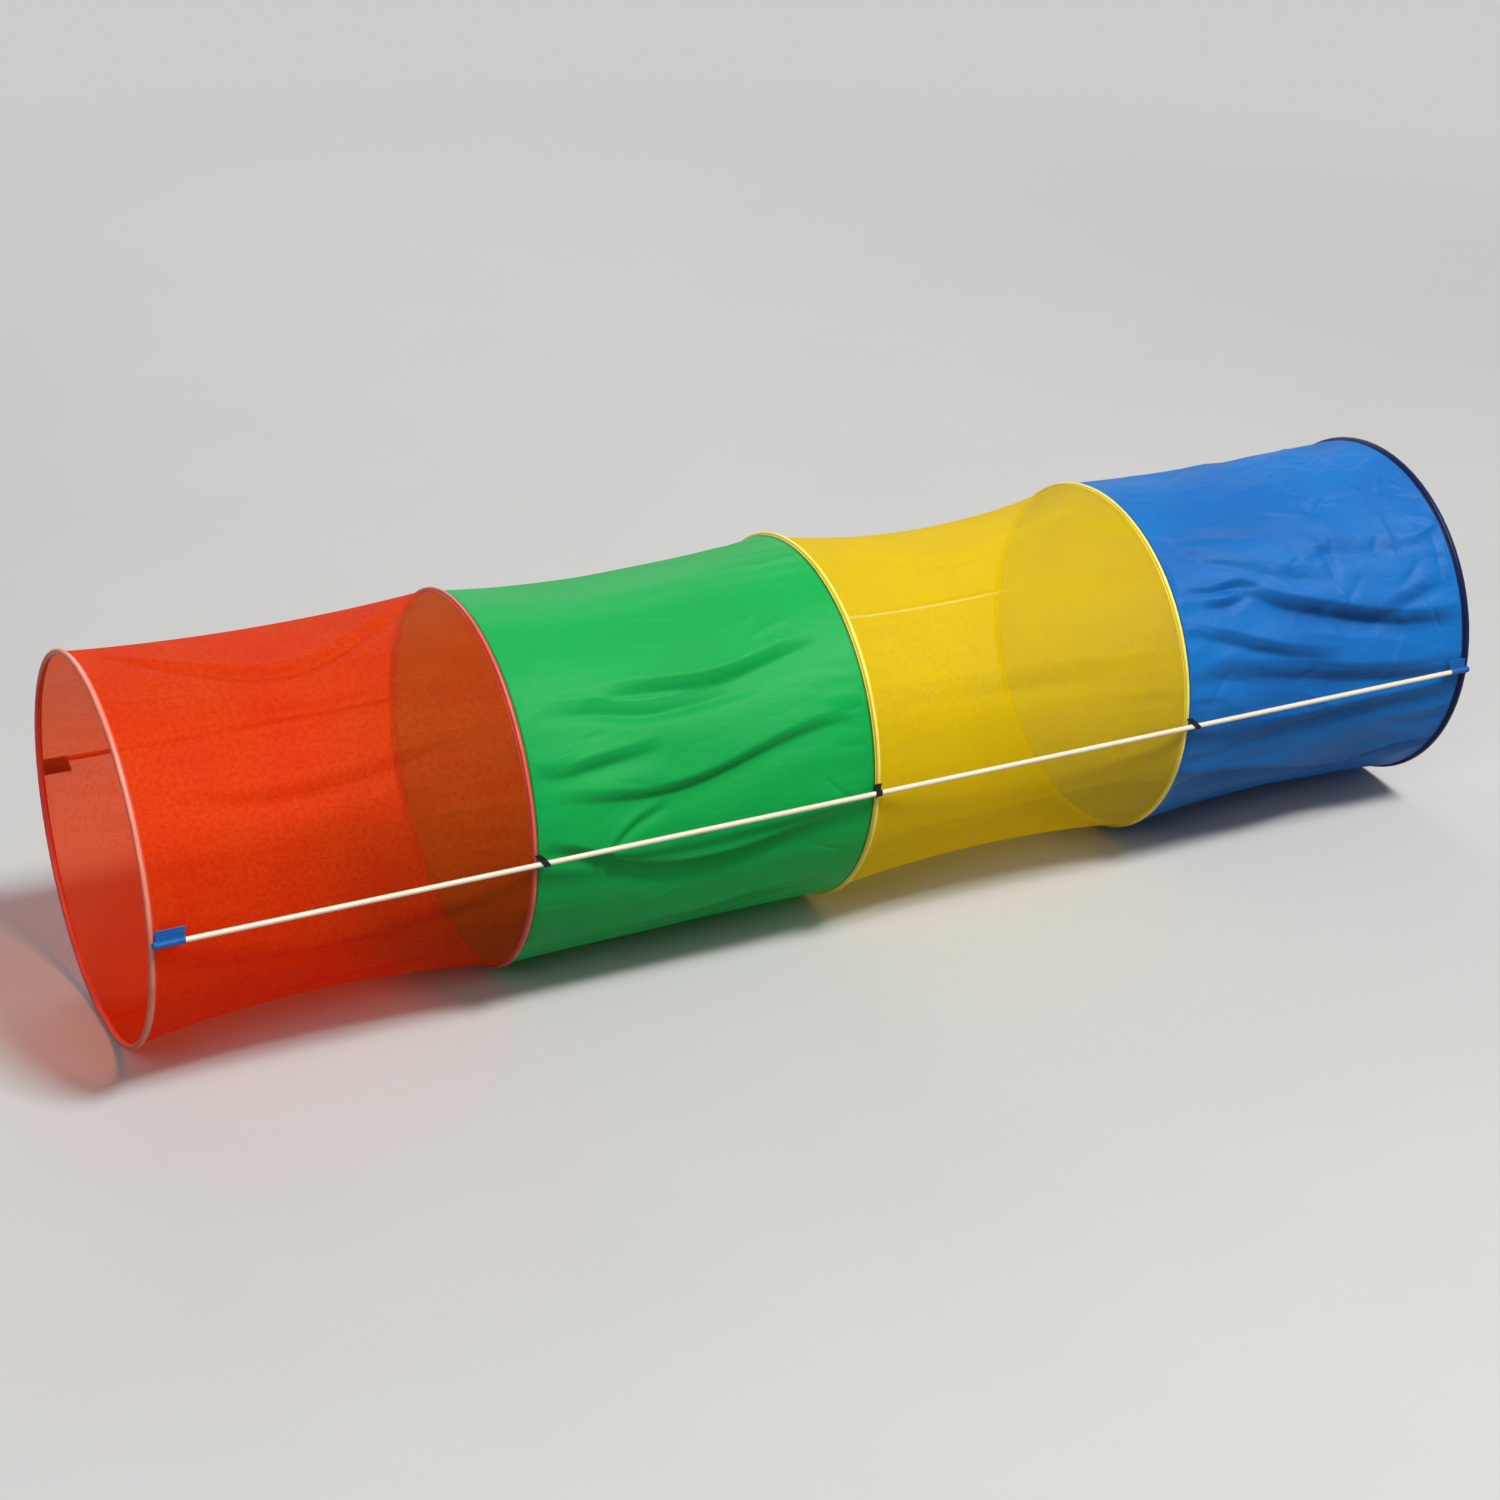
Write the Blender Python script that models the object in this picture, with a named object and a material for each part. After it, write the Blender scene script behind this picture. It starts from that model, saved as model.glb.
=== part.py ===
"""A child's crawl tunnel: four cloth bays between five bound hoops, kept open by two side rods.

Metres, +Z up. The tunnel lies along X, its red mouth at -X and its blue mouth at +X, and it stands
on the plane Z = 0. The right side is -Y and the left side is +Y, as seen on the way in at the red mouth.
"""
import math

import bmesh
import bpy

# The hoops and the bays between them
HOOP_DIAMETER = 0.46
BAY_LENGTH = 0.45
STANDING_FLAT = 0.045
HOOP_SEGMENTS = 48

# The bent rod inside each hoop, the ferrule that joins its ends and the cloth binding round both
SEAT_CLEARANCE = 0.0003
HOOP_ROD_THICKNESS = 0.004
HOOP_ROD_END_GAP = 0.001
FERRULE_LENGTH = 0.024
FERRULE_WALL = 0.0003
BINDING_WALL = 0.0006
SECTION_SIDES = 6

# The cloth of the bays
CLOTH_WALL = 0.001
CLOTH_SIDES = 48
CLOTH_ROWS = 10
MESH_SIDES = 40
MESH_ROWS = 7
FOLD_DEPTH = 0.009
FOLD_HALF_WIDTH = 0.026
WAIST_POWER_SHARE = 0.7

# How far each bay draws in between its hoops, at the top and at the bottom
RED_TOP_SAG = 0.012
RED_BOTTOM_LIFT = 0.021
GREEN_TOP_SAG = 0.016
GREEN_BOTTOM_LIFT = 0.001
YELLOW_TOP_SAG = 0.028
YELLOW_BOTTOM_LIFT = 0.014
BLUE_TOP_SAG = 0.006
BLUE_BOTTOM_LIFT = 0.011

# The side rods and the plugs in their ends
SIDE_ROD_DIAMETER = 0.0065
SIDE_ROD_WALL = 0.001
SIDE_ROD_SIDES = 12
PLUG_HEAD_LENGTH = 0.003
PLUG_SPIGOT_LENGTH = 0.012
PLUG_CROWN_SHARE = 0.6

# The cloth pockets that hold the rods' ends
POCKET_LENGTH = 0.038
POCKET_WALL = 0.001
POCKET_TAB = 0.016
POCKET_END_SEAM = 0.0012

# The elastic loops that hold the rods at the three inner hoops
LOOP_WIDTH = 0.005
LOOP_BAND = 0.001
LOOP_TAIL = 0.012
LOOP_TAIL_OFFSET = 0.001
SECOND_LOOP_OFFSET = 0.011
MIDDLE_LOOP_OFFSET = -0.004
FOURTH_LOOP_OFFSET = 0.012
STRAP_ARC_POINTS = 13

# Each fold: first and last place along the bay, then its places round the bay at its start, middle and
# end, counted from straight down towards +Y as shares of a turn, and its share of the full depth
GREEN_FOLD_SHARES = (
    (0.02, 0.98, 0.633, 0.622, 0.592, 0.9),
    (0.05, 0.98, 0.700, 0.708, 0.665, 1.0),
    (0.04, 0.97, 0.735, 0.773, 0.748, 1.0),
    (0.04, 0.96, 0.830, 0.850, 0.815, 0.8),
    (0.05, 0.95, 0.240, 0.262, 0.250, 0.7),
    (0.06, 0.94, 0.380, 0.400, 0.372, 0.6),
)
BLUE_FOLD_SHARES = (
    (0.10, 0.99, 0.640, 0.676, 0.696, 1.0),
    (0.01, 0.70, 0.660, 0.702, 0.716, 0.8),
    (0.05, 0.97, 0.812, 0.797, 0.770, 0.9),
    (0.04, 0.90, 0.600, 0.618, 0.612, 0.5),
    (0.05, 0.95, 0.235, 0.265, 0.255, 0.7),
    (0.06, 0.94, 0.360, 0.385, 0.372, 0.6),
)
RED_FOLD_SHARES = (
    (0.02, 0.98, 0.455, 0.535, 0.480, 0.6),
)
YELLOW_FOLD_SHARES = (
    (0.02, 0.98, 0.560, 0.580, 0.570, 0.3),
)

# Sizes that follow from those above
HOOP_RADIUS = HOOP_DIAMETER / 2
BINDING_THICKNESS = HOOP_ROD_THICKNESS + 2 * (2 * SEAT_CLEARANCE + FERRULE_WALL + BINDING_WALL)
BINDING_REACH = BINDING_THICKNESS / 2 / math.cos(math.pi / SECTION_SIDES)
FLAT_HALF_ANGLE = math.asin(STANDING_FLAT / HOOP_DIAMETER)
CENTRE_HEIGHT = HOOP_RADIUS * math.cos(FLAT_HALF_ANGLE) + BINDING_THICKNESS / 2
SIDE_ROD_RADIUS = SIDE_ROD_DIAMETER / 2
ROD_BORE_RADIUS = SIDE_ROD_RADIUS + SEAT_CLEARANCE
STRAP_STAND_OFF = max(POCKET_WALL, LOOP_BAND)
ROD_OFFSET = HOOP_RADIUS + BINDING_THICKNESS / 2 + SEAT_CLEARANCE + STRAP_STAND_OFF + ROD_BORE_RADIUS
HOOP_NAMES = ("front", "second", "middle", "fourth", "rear")
TUNNEL_LENGTH = BAY_LENGTH * (len(HOOP_NAMES) - 1)
SIDE_ROD_REACH = TUNNEL_LENGTH / 2 - POCKET_END_SEAM - SEAT_CLEARANCE
SHARP_EDGE_ANGLE = math.radians(40)
RIGHT_SIDE = -1
LEFT_SIDE = 1

# Colours: base colour, roughness, metallic
FINISHES = {
    "red_binding": ((0.72, 0.06, 0.03), 0.75, 0.0),
    "yellow_binding": ((0.86, 0.66, 0.01), 0.75, 0.0),
    "navy_binding": ((0.004, 0.012, 0.075), 0.7, 0.0),
    "red_mesh": ((0.79, 0.035, 0.008), 0.7, 0.0),
    "green_cloth": ((0.01, 0.36, 0.075), 0.6, 0.0),
    "yellow_mesh": ((0.87, 0.60, 0.0), 0.7, 0.0),
    "blue_cloth": ((0.008, 0.115, 0.46), 0.55, 0.0),
    "pocket_blue": ((0.01, 0.10, 0.34), 0.5, 0.0),
    "loop_black": ((0.012, 0.012, 0.014), 0.8, 0.0),
    "rod_white": ((0.86, 0.82, 0.72), 0.35, 0.0),
    "plug_white": ((0.80, 0.79, 0.74), 0.5, 0.0),
    "hoop_glass_fibre": ((0.62, 0.60, 0.52), 0.45, 0.0),
    "ferrule_steel": ((0.60, 0.60, 0.62), 0.3, 1.0),
}


def make_materials():
    materials = {}
    for name, (colour, roughness, metallic) in FINISHES.items():
        material = bpy.data.materials.new(name)
        material.use_nodes = True
        shader = material.node_tree.nodes["Principled BSDF"]
        shader.inputs["Base Color"].default_value = (*colour, 1.0)
        shader.inputs["Roughness"].default_value = roughness
        shader.inputs["Metallic"].default_value = metallic
        material.diffuse_color = (*colour, 1.0)
        materials[name] = material
    return materials


def make_carrier(name, place):
    """An empty on the axis of a body, which carries that body's pieces."""
    carrier = bpy.data.objects.new(name, None)
    carrier.location = place
    carrier.empty_display_size = HOOP_RADIUS
    bpy.context.scene.collection.objects.link(carrier)
    return carrier


def add_piece(name, bm, material, carrier):
    bmesh.ops.recalc_face_normals(bm, faces=bm.faces)
    mesh = bpy.data.meshes.new(name)
    bm.to_mesh(mesh)
    bm.free()
    mesh.materials.append(material)
    mesh.shade_smooth()
    mesh.set_sharp_from_angle(angle=SHARP_EDGE_ANGLE)
    piece = bpy.data.objects.new(name, mesh)
    bpy.context.scene.collection.objects.link(piece)
    piece.parent = carrier
    return piece


def skin(bm, loops, closed=False):
    """Quads between rings of points, each with the same count, and the rings' vertices."""
    rings = [[bm.verts.new(point) for point in loop] for loop in loops]
    pairs = list(zip(rings, rings[1:]))
    if closed:
        pairs.append((rings[-1], rings[0]))
    for first, second in pairs:
        for index in range(len(first)):
            after = (index + 1) % len(first)
            bm.faces.new((first[index], first[after], second[after], second[index]))
    return rings


def close_annulus(bm, outer, inner):
    """Fills the end between an outer and an inner ring of vertices."""
    edges = []
    for ring in (outer, inner):
        for index, vertex in enumerate(ring):
            edges.append(bm.edges.get((vertex, ring[(index + 1) % len(ring)])))
    bmesh.ops.triangle_fill(bm, edges=edges, use_beauty=True)


def solid_body(loops):
    bm = bmesh.new()
    rings = skin(bm, loops)
    bm.faces.new(rings[0])
    bm.faces.new(rings[-1])
    return bm


def hollow_body(outer_loops, inner_loops, blind=False):
    """A tube open at both ends, or with its last inner ring closed as the bottom of a blind hole."""
    bm = bmesh.new()
    outer = skin(bm, outer_loops)
    inner = skin(bm, inner_loops)
    close_annulus(bm, outer[0], inner[0])
    if blind:
        bm.faces.new(outer[-1])
        bm.faces.new(inner[-1])
    else:
        close_annulus(bm, outer[-1], inner[-1])
    return bm


# The hoop's line: a circle about the tunnel's axis with a short straight stretch where it stands

def hoop_line():
    first = FLAT_HALF_ANGLE
    step = (math.tau - 2 * first) / (HOOP_SEGMENTS - 1)
    angles = [first + step * index for index in range(HOOP_SEGMENTS)]
    return [(HOOP_RADIUS * math.sin(angle), -HOOP_RADIUS * math.cos(angle)) for angle in angles]


def line_stretch(line, start, end):
    """The points of a closed line between two lengths along it, counted from its first point."""
    points = []
    travelled = 0.0
    index = 0
    while travelled < end:
        here = line[index % len(line)]
        there = line[(index + 1) % len(line)]
        step = math.dist(here, there)
        if travelled <= start < travelled + step:
            points.append(blend_points(here, there, (start - travelled) / step))
        if start < travelled + step < end:
            points.append(there)
        last = blend_points(here, there, (end - travelled) / step)
        travelled += step
        index += 1
    return points + [last]


def blend_points(here, there, share):
    return tuple(a + (b - a) * share for a, b in zip(here, there))


def outward_normal(here, there):
    """The unit normal of a stretch of the hoop's line, away from the tunnel's axis."""
    length = math.dist(here, there)
    return ((there[1] - here[1]) / length, -(there[0] - here[0]) / length)


def mitres(points, closed):
    """At each point, the way outwards that keeps an offset line parallel to both its neighbours."""
    count = len(points)
    ways = []
    for index, point in enumerate(points):
        before = points[index - 1] if closed or index else None
        after = points[(index + 1) % count] if closed or index + 1 < count else None
        first = outward_normal(before, point) if before else outward_normal(point, after)
        second = outward_normal(point, after) if after else first
        scale = 1 + first[0] * second[0] + first[1] * second[1]
        ways.append(((first[0] + second[0]) / scale, (first[1] + second[1]) / scale))
    return ways


def sweep(section, points, closed=False):
    """Rings of a section along the hoop's line. A section point is (along the tunnel, outwards)."""
    loops = []
    for (y, z), (out_y, out_z) in zip(points, mitres(points, closed)):
        loops.append([(along, y + out * out_y, z + out * out_z) for along, out in section])
    return loops


def section_corners(thickness):
    """Corners of a regular section, one flat facing away from the axis, clockwise from inside."""
    radius = thickness / 2 / math.cos(math.pi / SECTION_SIDES)
    corners = []
    for index in range(SECTION_SIDES):
        angle = math.pi + math.tau * (index + 0.5) / SECTION_SIDES
        corners.append((radius * math.sin(angle), radius * math.cos(angle)))
    return corners


def make_hoop(name, binding, materials, carrier):
    line = hoop_line()
    length = sum(math.dist(line[index - 1], point) for index, point in enumerate(line))
    middle = (length - STANDING_FLAT) / 2
    rod_line = line_stretch(line, middle + HOOP_ROD_END_GAP / 2, middle + length - HOOP_ROD_END_GAP / 2)
    rod = solid_body(sweep(section_corners(HOOP_ROD_THICKNESS), rod_line))
    add_piece(f"{name}_hoop_rod", rod, materials["hoop_glass_fibre"], carrier)

    bore = HOOP_ROD_THICKNESS + 2 * SEAT_CLEARANCE
    outside = bore + 2 * FERRULE_WALL
    ferrule_line = line_stretch(line, middle - FERRULE_LENGTH / 2, middle + FERRULE_LENGTH / 2)
    skins = [sweep(section_corners(thickness), ferrule_line) for thickness in (outside, bore)]
    ferrule = hollow_body(*skins)
    add_piece(f"{name}_hoop_ferrule", ferrule, materials["ferrule_steel"], carrier)

    # The binding is a strip folded round the rod, open along the side that faces the tunnel's axis
    inside = outside + 2 * SEAT_CLEARANCE
    strip = section_corners(BINDING_THICKNESS) + section_corners(inside)[::-1]
    bm = bmesh.new()
    skin(bm, sweep(strip, line, closed=True), closed=True)
    add_piece(f"{name}_hoop_binding", bm, materials[binding], carrier)


def fold_rise(share, angle, fold):
    """Height of one fold above the plain cloth: a ridge with a furrow below it."""
    first, last, start, middle, end, depth = fold
    run = (share - first) / (last - first)
    if not 0 < run < 1:
        return 0.0
    bow = 4 * run * (1 - run)
    chord = start + (end - start) * run
    line = chord + bow * (middle - (start + end) / 2)
    across = (angle / math.tau - line) * math.tau * HOOP_RADIUS / FOLD_HALF_WIDTH
    if start < 0.5:
        across = -across
    return -FOLD_DEPTH * depth * math.sqrt(bow) * across * math.exp((1 - across * across) / 2)


def bay_radius(share, angle, top_sag, bottom_lift, folds):
    drawn_in = math.sin(math.pi * share) ** WAIST_POWER_SHARE if 0 < share < 1 else 0.0
    top = (1 - math.cos(angle)) / 2
    radius = HOOP_RADIUS - drawn_in * (top_sag * top + bottom_lift * (1 - top))
    return radius + sum(fold_rise(share, angle, fold) for fold in folds)


def make_bay(name, material, carrier, sides, rows, top_sag, bottom_lift, folds):
    """A tube of cloth between two hoops, drawn in at its waist and creased along its length."""
    inset = BINDING_REACH + SEAT_CLEARANCE
    skins = []
    for stand_off in (CLOTH_WALL / 2, -CLOTH_WALL / 2):
        loops = []
        for row in range(rows + 1):
            share = (1 - math.cos(math.pi * row / rows)) / 2
            x = inset + share * (BAY_LENGTH - 2 * inset)
            loop = []
            for side in range(sides):
                angle = math.tau * side / sides
                radius = bay_radius(share, angle, top_sag, bottom_lift, folds) + stand_off
                loop.append((x, radius * math.sin(angle), -radius * math.cos(angle)))
            loops.append(loop)
        skins.append(loops)
    add_piece(name, hollow_body(*skins), material, carrier)


# A strap folded round a side rod: its section is a ring with a tab of two layers beside it

def strap_outline(wall, tab):
    """(Away from the tunnel, along the tab) points round the outside of the strap's section."""
    radius = ROD_BORE_RADIUS + wall
    tab_face = 2 * wall - radius
    last = math.tau + math.acos(tab_face / radius)
    points = []
    for index in range(STRAP_ARC_POINTS):
        angle = math.pi + (last - math.pi) * index / (STRAP_ARC_POINTS - 1)
        points.append((radius * math.cos(angle), radius * math.sin(angle)))
    points.append((tab_face, tab))
    points.append((-radius, tab))
    return points


def rod_circle(radius):
    angles = [math.tau * side / SIDE_ROD_SIDES for side in range(SIDE_ROD_SIDES)]
    return [(radius * math.cos(angle), radius * math.sin(angle)) for angle in angles]


def strap_loops(points, places, side, slant=0.0):
    """The section set down at places along the tunnel, on one side of it."""
    loops = []
    for place in places:
        loop = []
        for away, along_tab in points:
            x = place + slant * along_tab
            loop.append((x, side * (ROD_OFFSET + away), -side * along_tab))
        loops.append(loop)
    return loops


def make_pocket(name, mouth, closed_end, side, material, carrier):
    bottom = closed_end + math.copysign(POCKET_END_SEAM, mouth - closed_end)
    outer = strap_loops(strap_outline(POCKET_WALL, POCKET_TAB), (mouth, closed_end), side)
    inner = strap_loops(rod_circle(ROD_BORE_RADIUS), (mouth, bottom), side)
    add_piece(name, hollow_body(outer, inner, blind=True), material, carrier)


def make_loop(name, offset, side, material, carrier):
    tail_place = math.copysign(LOOP_TAIL_OFFSET, offset)
    slant = (tail_place - offset) / LOOP_TAIL
    places = (offset - LOOP_WIDTH / 2, offset + LOOP_WIDTH / 2)
    outer = strap_loops(strap_outline(LOOP_BAND, LOOP_TAIL), places, side, slant)
    inner = strap_loops(rod_circle(ROD_BORE_RADIUS), places, side, slant)
    add_piece(name, hollow_body(outer, inner), material, carrier)


def rod_rings(stations):
    """Rings of the side rod's own section: (place along the rod, radius) pairs."""
    return [[(place, y, z) for y, z in rod_circle(radius)] for place, radius in stations]


def make_side_rod(name, materials, carrier):
    tube_reach = SIDE_ROD_REACH - PLUG_HEAD_LENGTH - SEAT_CLEARANCE
    bore = SIDE_ROD_RADIUS - SIDE_ROD_WALL
    outer = rod_rings([(-tube_reach, SIDE_ROD_RADIUS), (tube_reach, SIDE_ROD_RADIUS)])
    inner = rod_rings([(-tube_reach, bore), (tube_reach, bore)])
    add_piece(f"{name}_rod_tube", hollow_body(outer, inner), materials["rod_white"], carrier)
    for end, way in (("front", -1), ("rear", 1)):
        shoulder = SIDE_ROD_REACH - PLUG_HEAD_LENGTH
        stations = (
            (shoulder - PLUG_SPIGOT_LENGTH, bore - SEAT_CLEARANCE),
            (shoulder, bore - SEAT_CLEARANCE),
            (shoulder, SIDE_ROD_RADIUS),
            (shoulder + PLUG_HEAD_LENGTH * PLUG_CROWN_SHARE, SIDE_ROD_RADIUS),
            (SIDE_ROD_REACH, SIDE_ROD_RADIUS * PLUG_CROWN_SHARE),
        )
        plug = solid_body(rod_rings([(way * place, radius) for place, radius in stations]))
        add_piece(f"{name}_rod_{end}_plug", plug, materials["plug_white"], carrier)


def make_tunnel():
    materials = make_materials()
    carriers = []
    for index, name in enumerate(HOOP_NAMES):
        place = (index * BAY_LENGTH - TUNNEL_LENGTH / 2, 0.0, CENTRE_HEIGHT)
        carriers.append(make_carrier(f"{name}_hoop_carrier", place))
    bindings = ("red_binding", "red_binding", "yellow_binding", "yellow_binding", "navy_binding")
    for name, binding, carrier in zip(HOOP_NAMES, bindings, carriers):
        make_hoop(name, binding, materials, carrier)

    red = (MESH_SIDES, MESH_ROWS, RED_TOP_SAG, RED_BOTTOM_LIFT, RED_FOLD_SHARES)
    green = (CLOTH_SIDES, CLOTH_ROWS, GREEN_TOP_SAG, GREEN_BOTTOM_LIFT, GREEN_FOLD_SHARES)
    yellow = (MESH_SIDES, MESH_ROWS, YELLOW_TOP_SAG, YELLOW_BOTTOM_LIFT, YELLOW_FOLD_SHARES)
    blue = (CLOTH_SIDES, CLOTH_ROWS, BLUE_TOP_SAG, BLUE_BOTTOM_LIFT, BLUE_FOLD_SHARES)
    make_bay("red_mesh_bay", materials["red_mesh"], carriers[0], *red)
    make_bay("green_cloth_bay", materials["green_cloth"], carriers[1], *green)
    make_bay("yellow_mesh_bay", materials["yellow_mesh"], carriers[2], *yellow)
    make_bay("blue_cloth_bay", materials["blue_cloth"], carriers[3], *blue)

    loop_offsets = (SECOND_LOOP_OFFSET, MIDDLE_LOOP_OFFSET, FOURTH_LOOP_OFFSET)
    for name, side in (("right", RIGHT_SIDE), ("left", LEFT_SIDE)):
        rod_carrier = make_carrier(f"{name}_rod_carrier", (0.0, side * ROD_OFFSET, CENTRE_HEIGHT))
        make_side_rod(name, materials, rod_carrier)
        pocket = materials["pocket_blue"]
        make_pocket(f"{name}_front_pocket", POCKET_LENGTH, 0.0, side, pocket, carriers[0])
        make_pocket(f"{name}_rear_pocket", -POCKET_LENGTH, 0.0, side, pocket, carriers[-1])
        for hoop, offset, carrier in zip(HOOP_NAMES[1:-1], loop_offsets, carriers[1:-1]):
            make_loop(f"{name}_{hoop}_loop", offset, side, materials["loop_black"], carrier)


for old in list(bpy.data.objects):
    bpy.data.objects.remove(old, do_unlink=True)
make_tunnel()
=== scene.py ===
"""Looks for the crawl tunnel: net and taffeta bays, bound hoops, side rods, sewn pockets and elastic loops.

Metres, +Z up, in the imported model's own frame. Angles round the tunnel count from straight down towards +Y.
"""
import math

import bmesh
import bpy
import numpy as np
from mathutils import Matrix, Vector, noise


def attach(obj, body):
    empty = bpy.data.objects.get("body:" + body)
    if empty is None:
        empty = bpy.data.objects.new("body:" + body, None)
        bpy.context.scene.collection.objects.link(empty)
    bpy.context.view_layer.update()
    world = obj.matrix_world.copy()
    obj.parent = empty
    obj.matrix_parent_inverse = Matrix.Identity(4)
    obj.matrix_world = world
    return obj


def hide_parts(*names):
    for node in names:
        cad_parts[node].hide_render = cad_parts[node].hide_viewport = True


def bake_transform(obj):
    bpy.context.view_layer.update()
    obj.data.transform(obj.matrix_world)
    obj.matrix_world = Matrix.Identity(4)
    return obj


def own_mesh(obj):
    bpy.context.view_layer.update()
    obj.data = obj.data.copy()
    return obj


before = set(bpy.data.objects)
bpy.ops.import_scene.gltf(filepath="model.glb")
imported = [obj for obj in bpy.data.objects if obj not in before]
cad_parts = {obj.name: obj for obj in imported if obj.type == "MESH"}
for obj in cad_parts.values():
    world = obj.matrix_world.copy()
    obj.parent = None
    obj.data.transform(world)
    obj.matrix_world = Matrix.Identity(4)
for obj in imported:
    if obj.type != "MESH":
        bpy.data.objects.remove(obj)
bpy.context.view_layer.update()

# The tunnel's own sizes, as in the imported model
HOOP_RADIUS = 0.23
BAY_LENGTH = 0.45
HOOP_PLACES = (-0.9, -0.45, 0.0, 0.45, 0.9)
HOOP_NAMES = ("front", "second", "middle", "fourth", "rear")
STANDING_FLAT = 0.045
CENTRE_HEIGHT = 0.232393
BAY_INSET = 0.00434
ROD_OFFSET = 0.23835
ROD_RADIUS = 0.00325
ROD_REACH = 0.8985
WAIST_POWER = 0.7
CLOTH_ROUND = math.tau * HOOP_RADIUS
# The cloth starts this far in from its hoops, and its ridges level off above the limit, within the span
TUCK = 0.0032
CLOTH_LIMIT = 0.2313
LIMIT_SPAN = 0.0022
WEAVE_PITCH = 0.0004
NET_PITCH = 0.00085
ROD_WALL = 0.001
PLUG_HEAD = 0.003
PLUG_GAP = 0.0003
POCKET_REACH = {"front": 0.0355, "rear": 0.0280}
# Small pieces of taffeta keep their flat coordinates this far from the material's seam and its painted shadow
# at 0
SEAM_CLEARANCE = 0.02
RIGHT, LEFT = -1, 1
BACKDROP = (0.60, 0.60, 0.595)
IMAGE_SIZE = 1500

# Folds of the cloth. Each has its line's points (share of the bay's length, turns round the tunnel), then
# its height, the length of the slopes beyond its step, and half the width of the step, in metres.
GREEN_FOLDS = (
    (((0.20, 0.622), (0.37, 0.621), (0.51, 0.626), (0.63, 0.625), (0.72, 0.618), (0.94, 0.604)),
     0.0076, 0.024, 0.009),
    (((0.04, 0.628), (0.21, 0.630), (0.35, 0.641), (0.47, 0.640), (0.58, 0.638), (0.72, 0.634)),
     0.0050, 0.009, 0.010),
    (((0.00, 0.677), (0.10, 0.682), (0.18, 0.679), (0.27, 0.677), (0.40, 0.672)), 0.0055, 0.016, 0.008),
    (((0.06, 0.700), (0.22, 0.710), (0.34, 0.714), (0.45, 0.713), (0.57, 0.705), (0.69, 0.693), (0.82, 0.683),
      (1.00, 0.677)), 0.0074, 0.026, 0.008),
    (((0.01, 0.737), (0.10, 0.748), (0.19, 0.760), (0.28, 0.775), (0.40, 0.784), (0.51, 0.785), (0.63, 0.782),
      (0.75, 0.774), (0.84, 0.766), (0.97, 0.762)), 0.0112, 0.024, 0.008),
    (((0.17, 0.765), (0.23, 0.748), (0.29, 0.735), (0.40, 0.724)), 0.0040, 0.008, 0.006),
    (((0.00, 0.864), (0.13, 0.859), (0.24, 0.860), (0.36, 0.857), (0.54, 0.858), (0.70, 0.848),
      (0.92, 0.845)), 0.0098, 0.022, 0.009),
    (((0.55, 0.895), (0.65, 0.881), (0.72, 0.864), (0.86, 0.856)), 0.0045, 0.010, 0.007),
    (((0.05, 0.330), (0.25, 0.342), (0.48, 0.352), (0.70, 0.346), (0.95, 0.330)), 0.0050, 0.024, 0.011),
    (((0.03, 0.262), (0.22, 0.246), (0.45, 0.232), (0.66, 0.240), (0.97, 0.262)), 0.0066, 0.024, 0.012),
    (((0.30, 0.402), (0.52, 0.396), (0.78, 0.408), (0.96, 0.425)), 0.0036, 0.020, 0.012),
    (((0.02, 0.168), (0.30, 0.158), (0.60, 0.150), (0.93, 0.160)), 0.0055, 0.020, 0.012),
    (((0.08, 0.486), (0.34, 0.498), (0.66, 0.492), (0.92, 0.478)), 0.0014, 0.022, 0.018),
)
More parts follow.
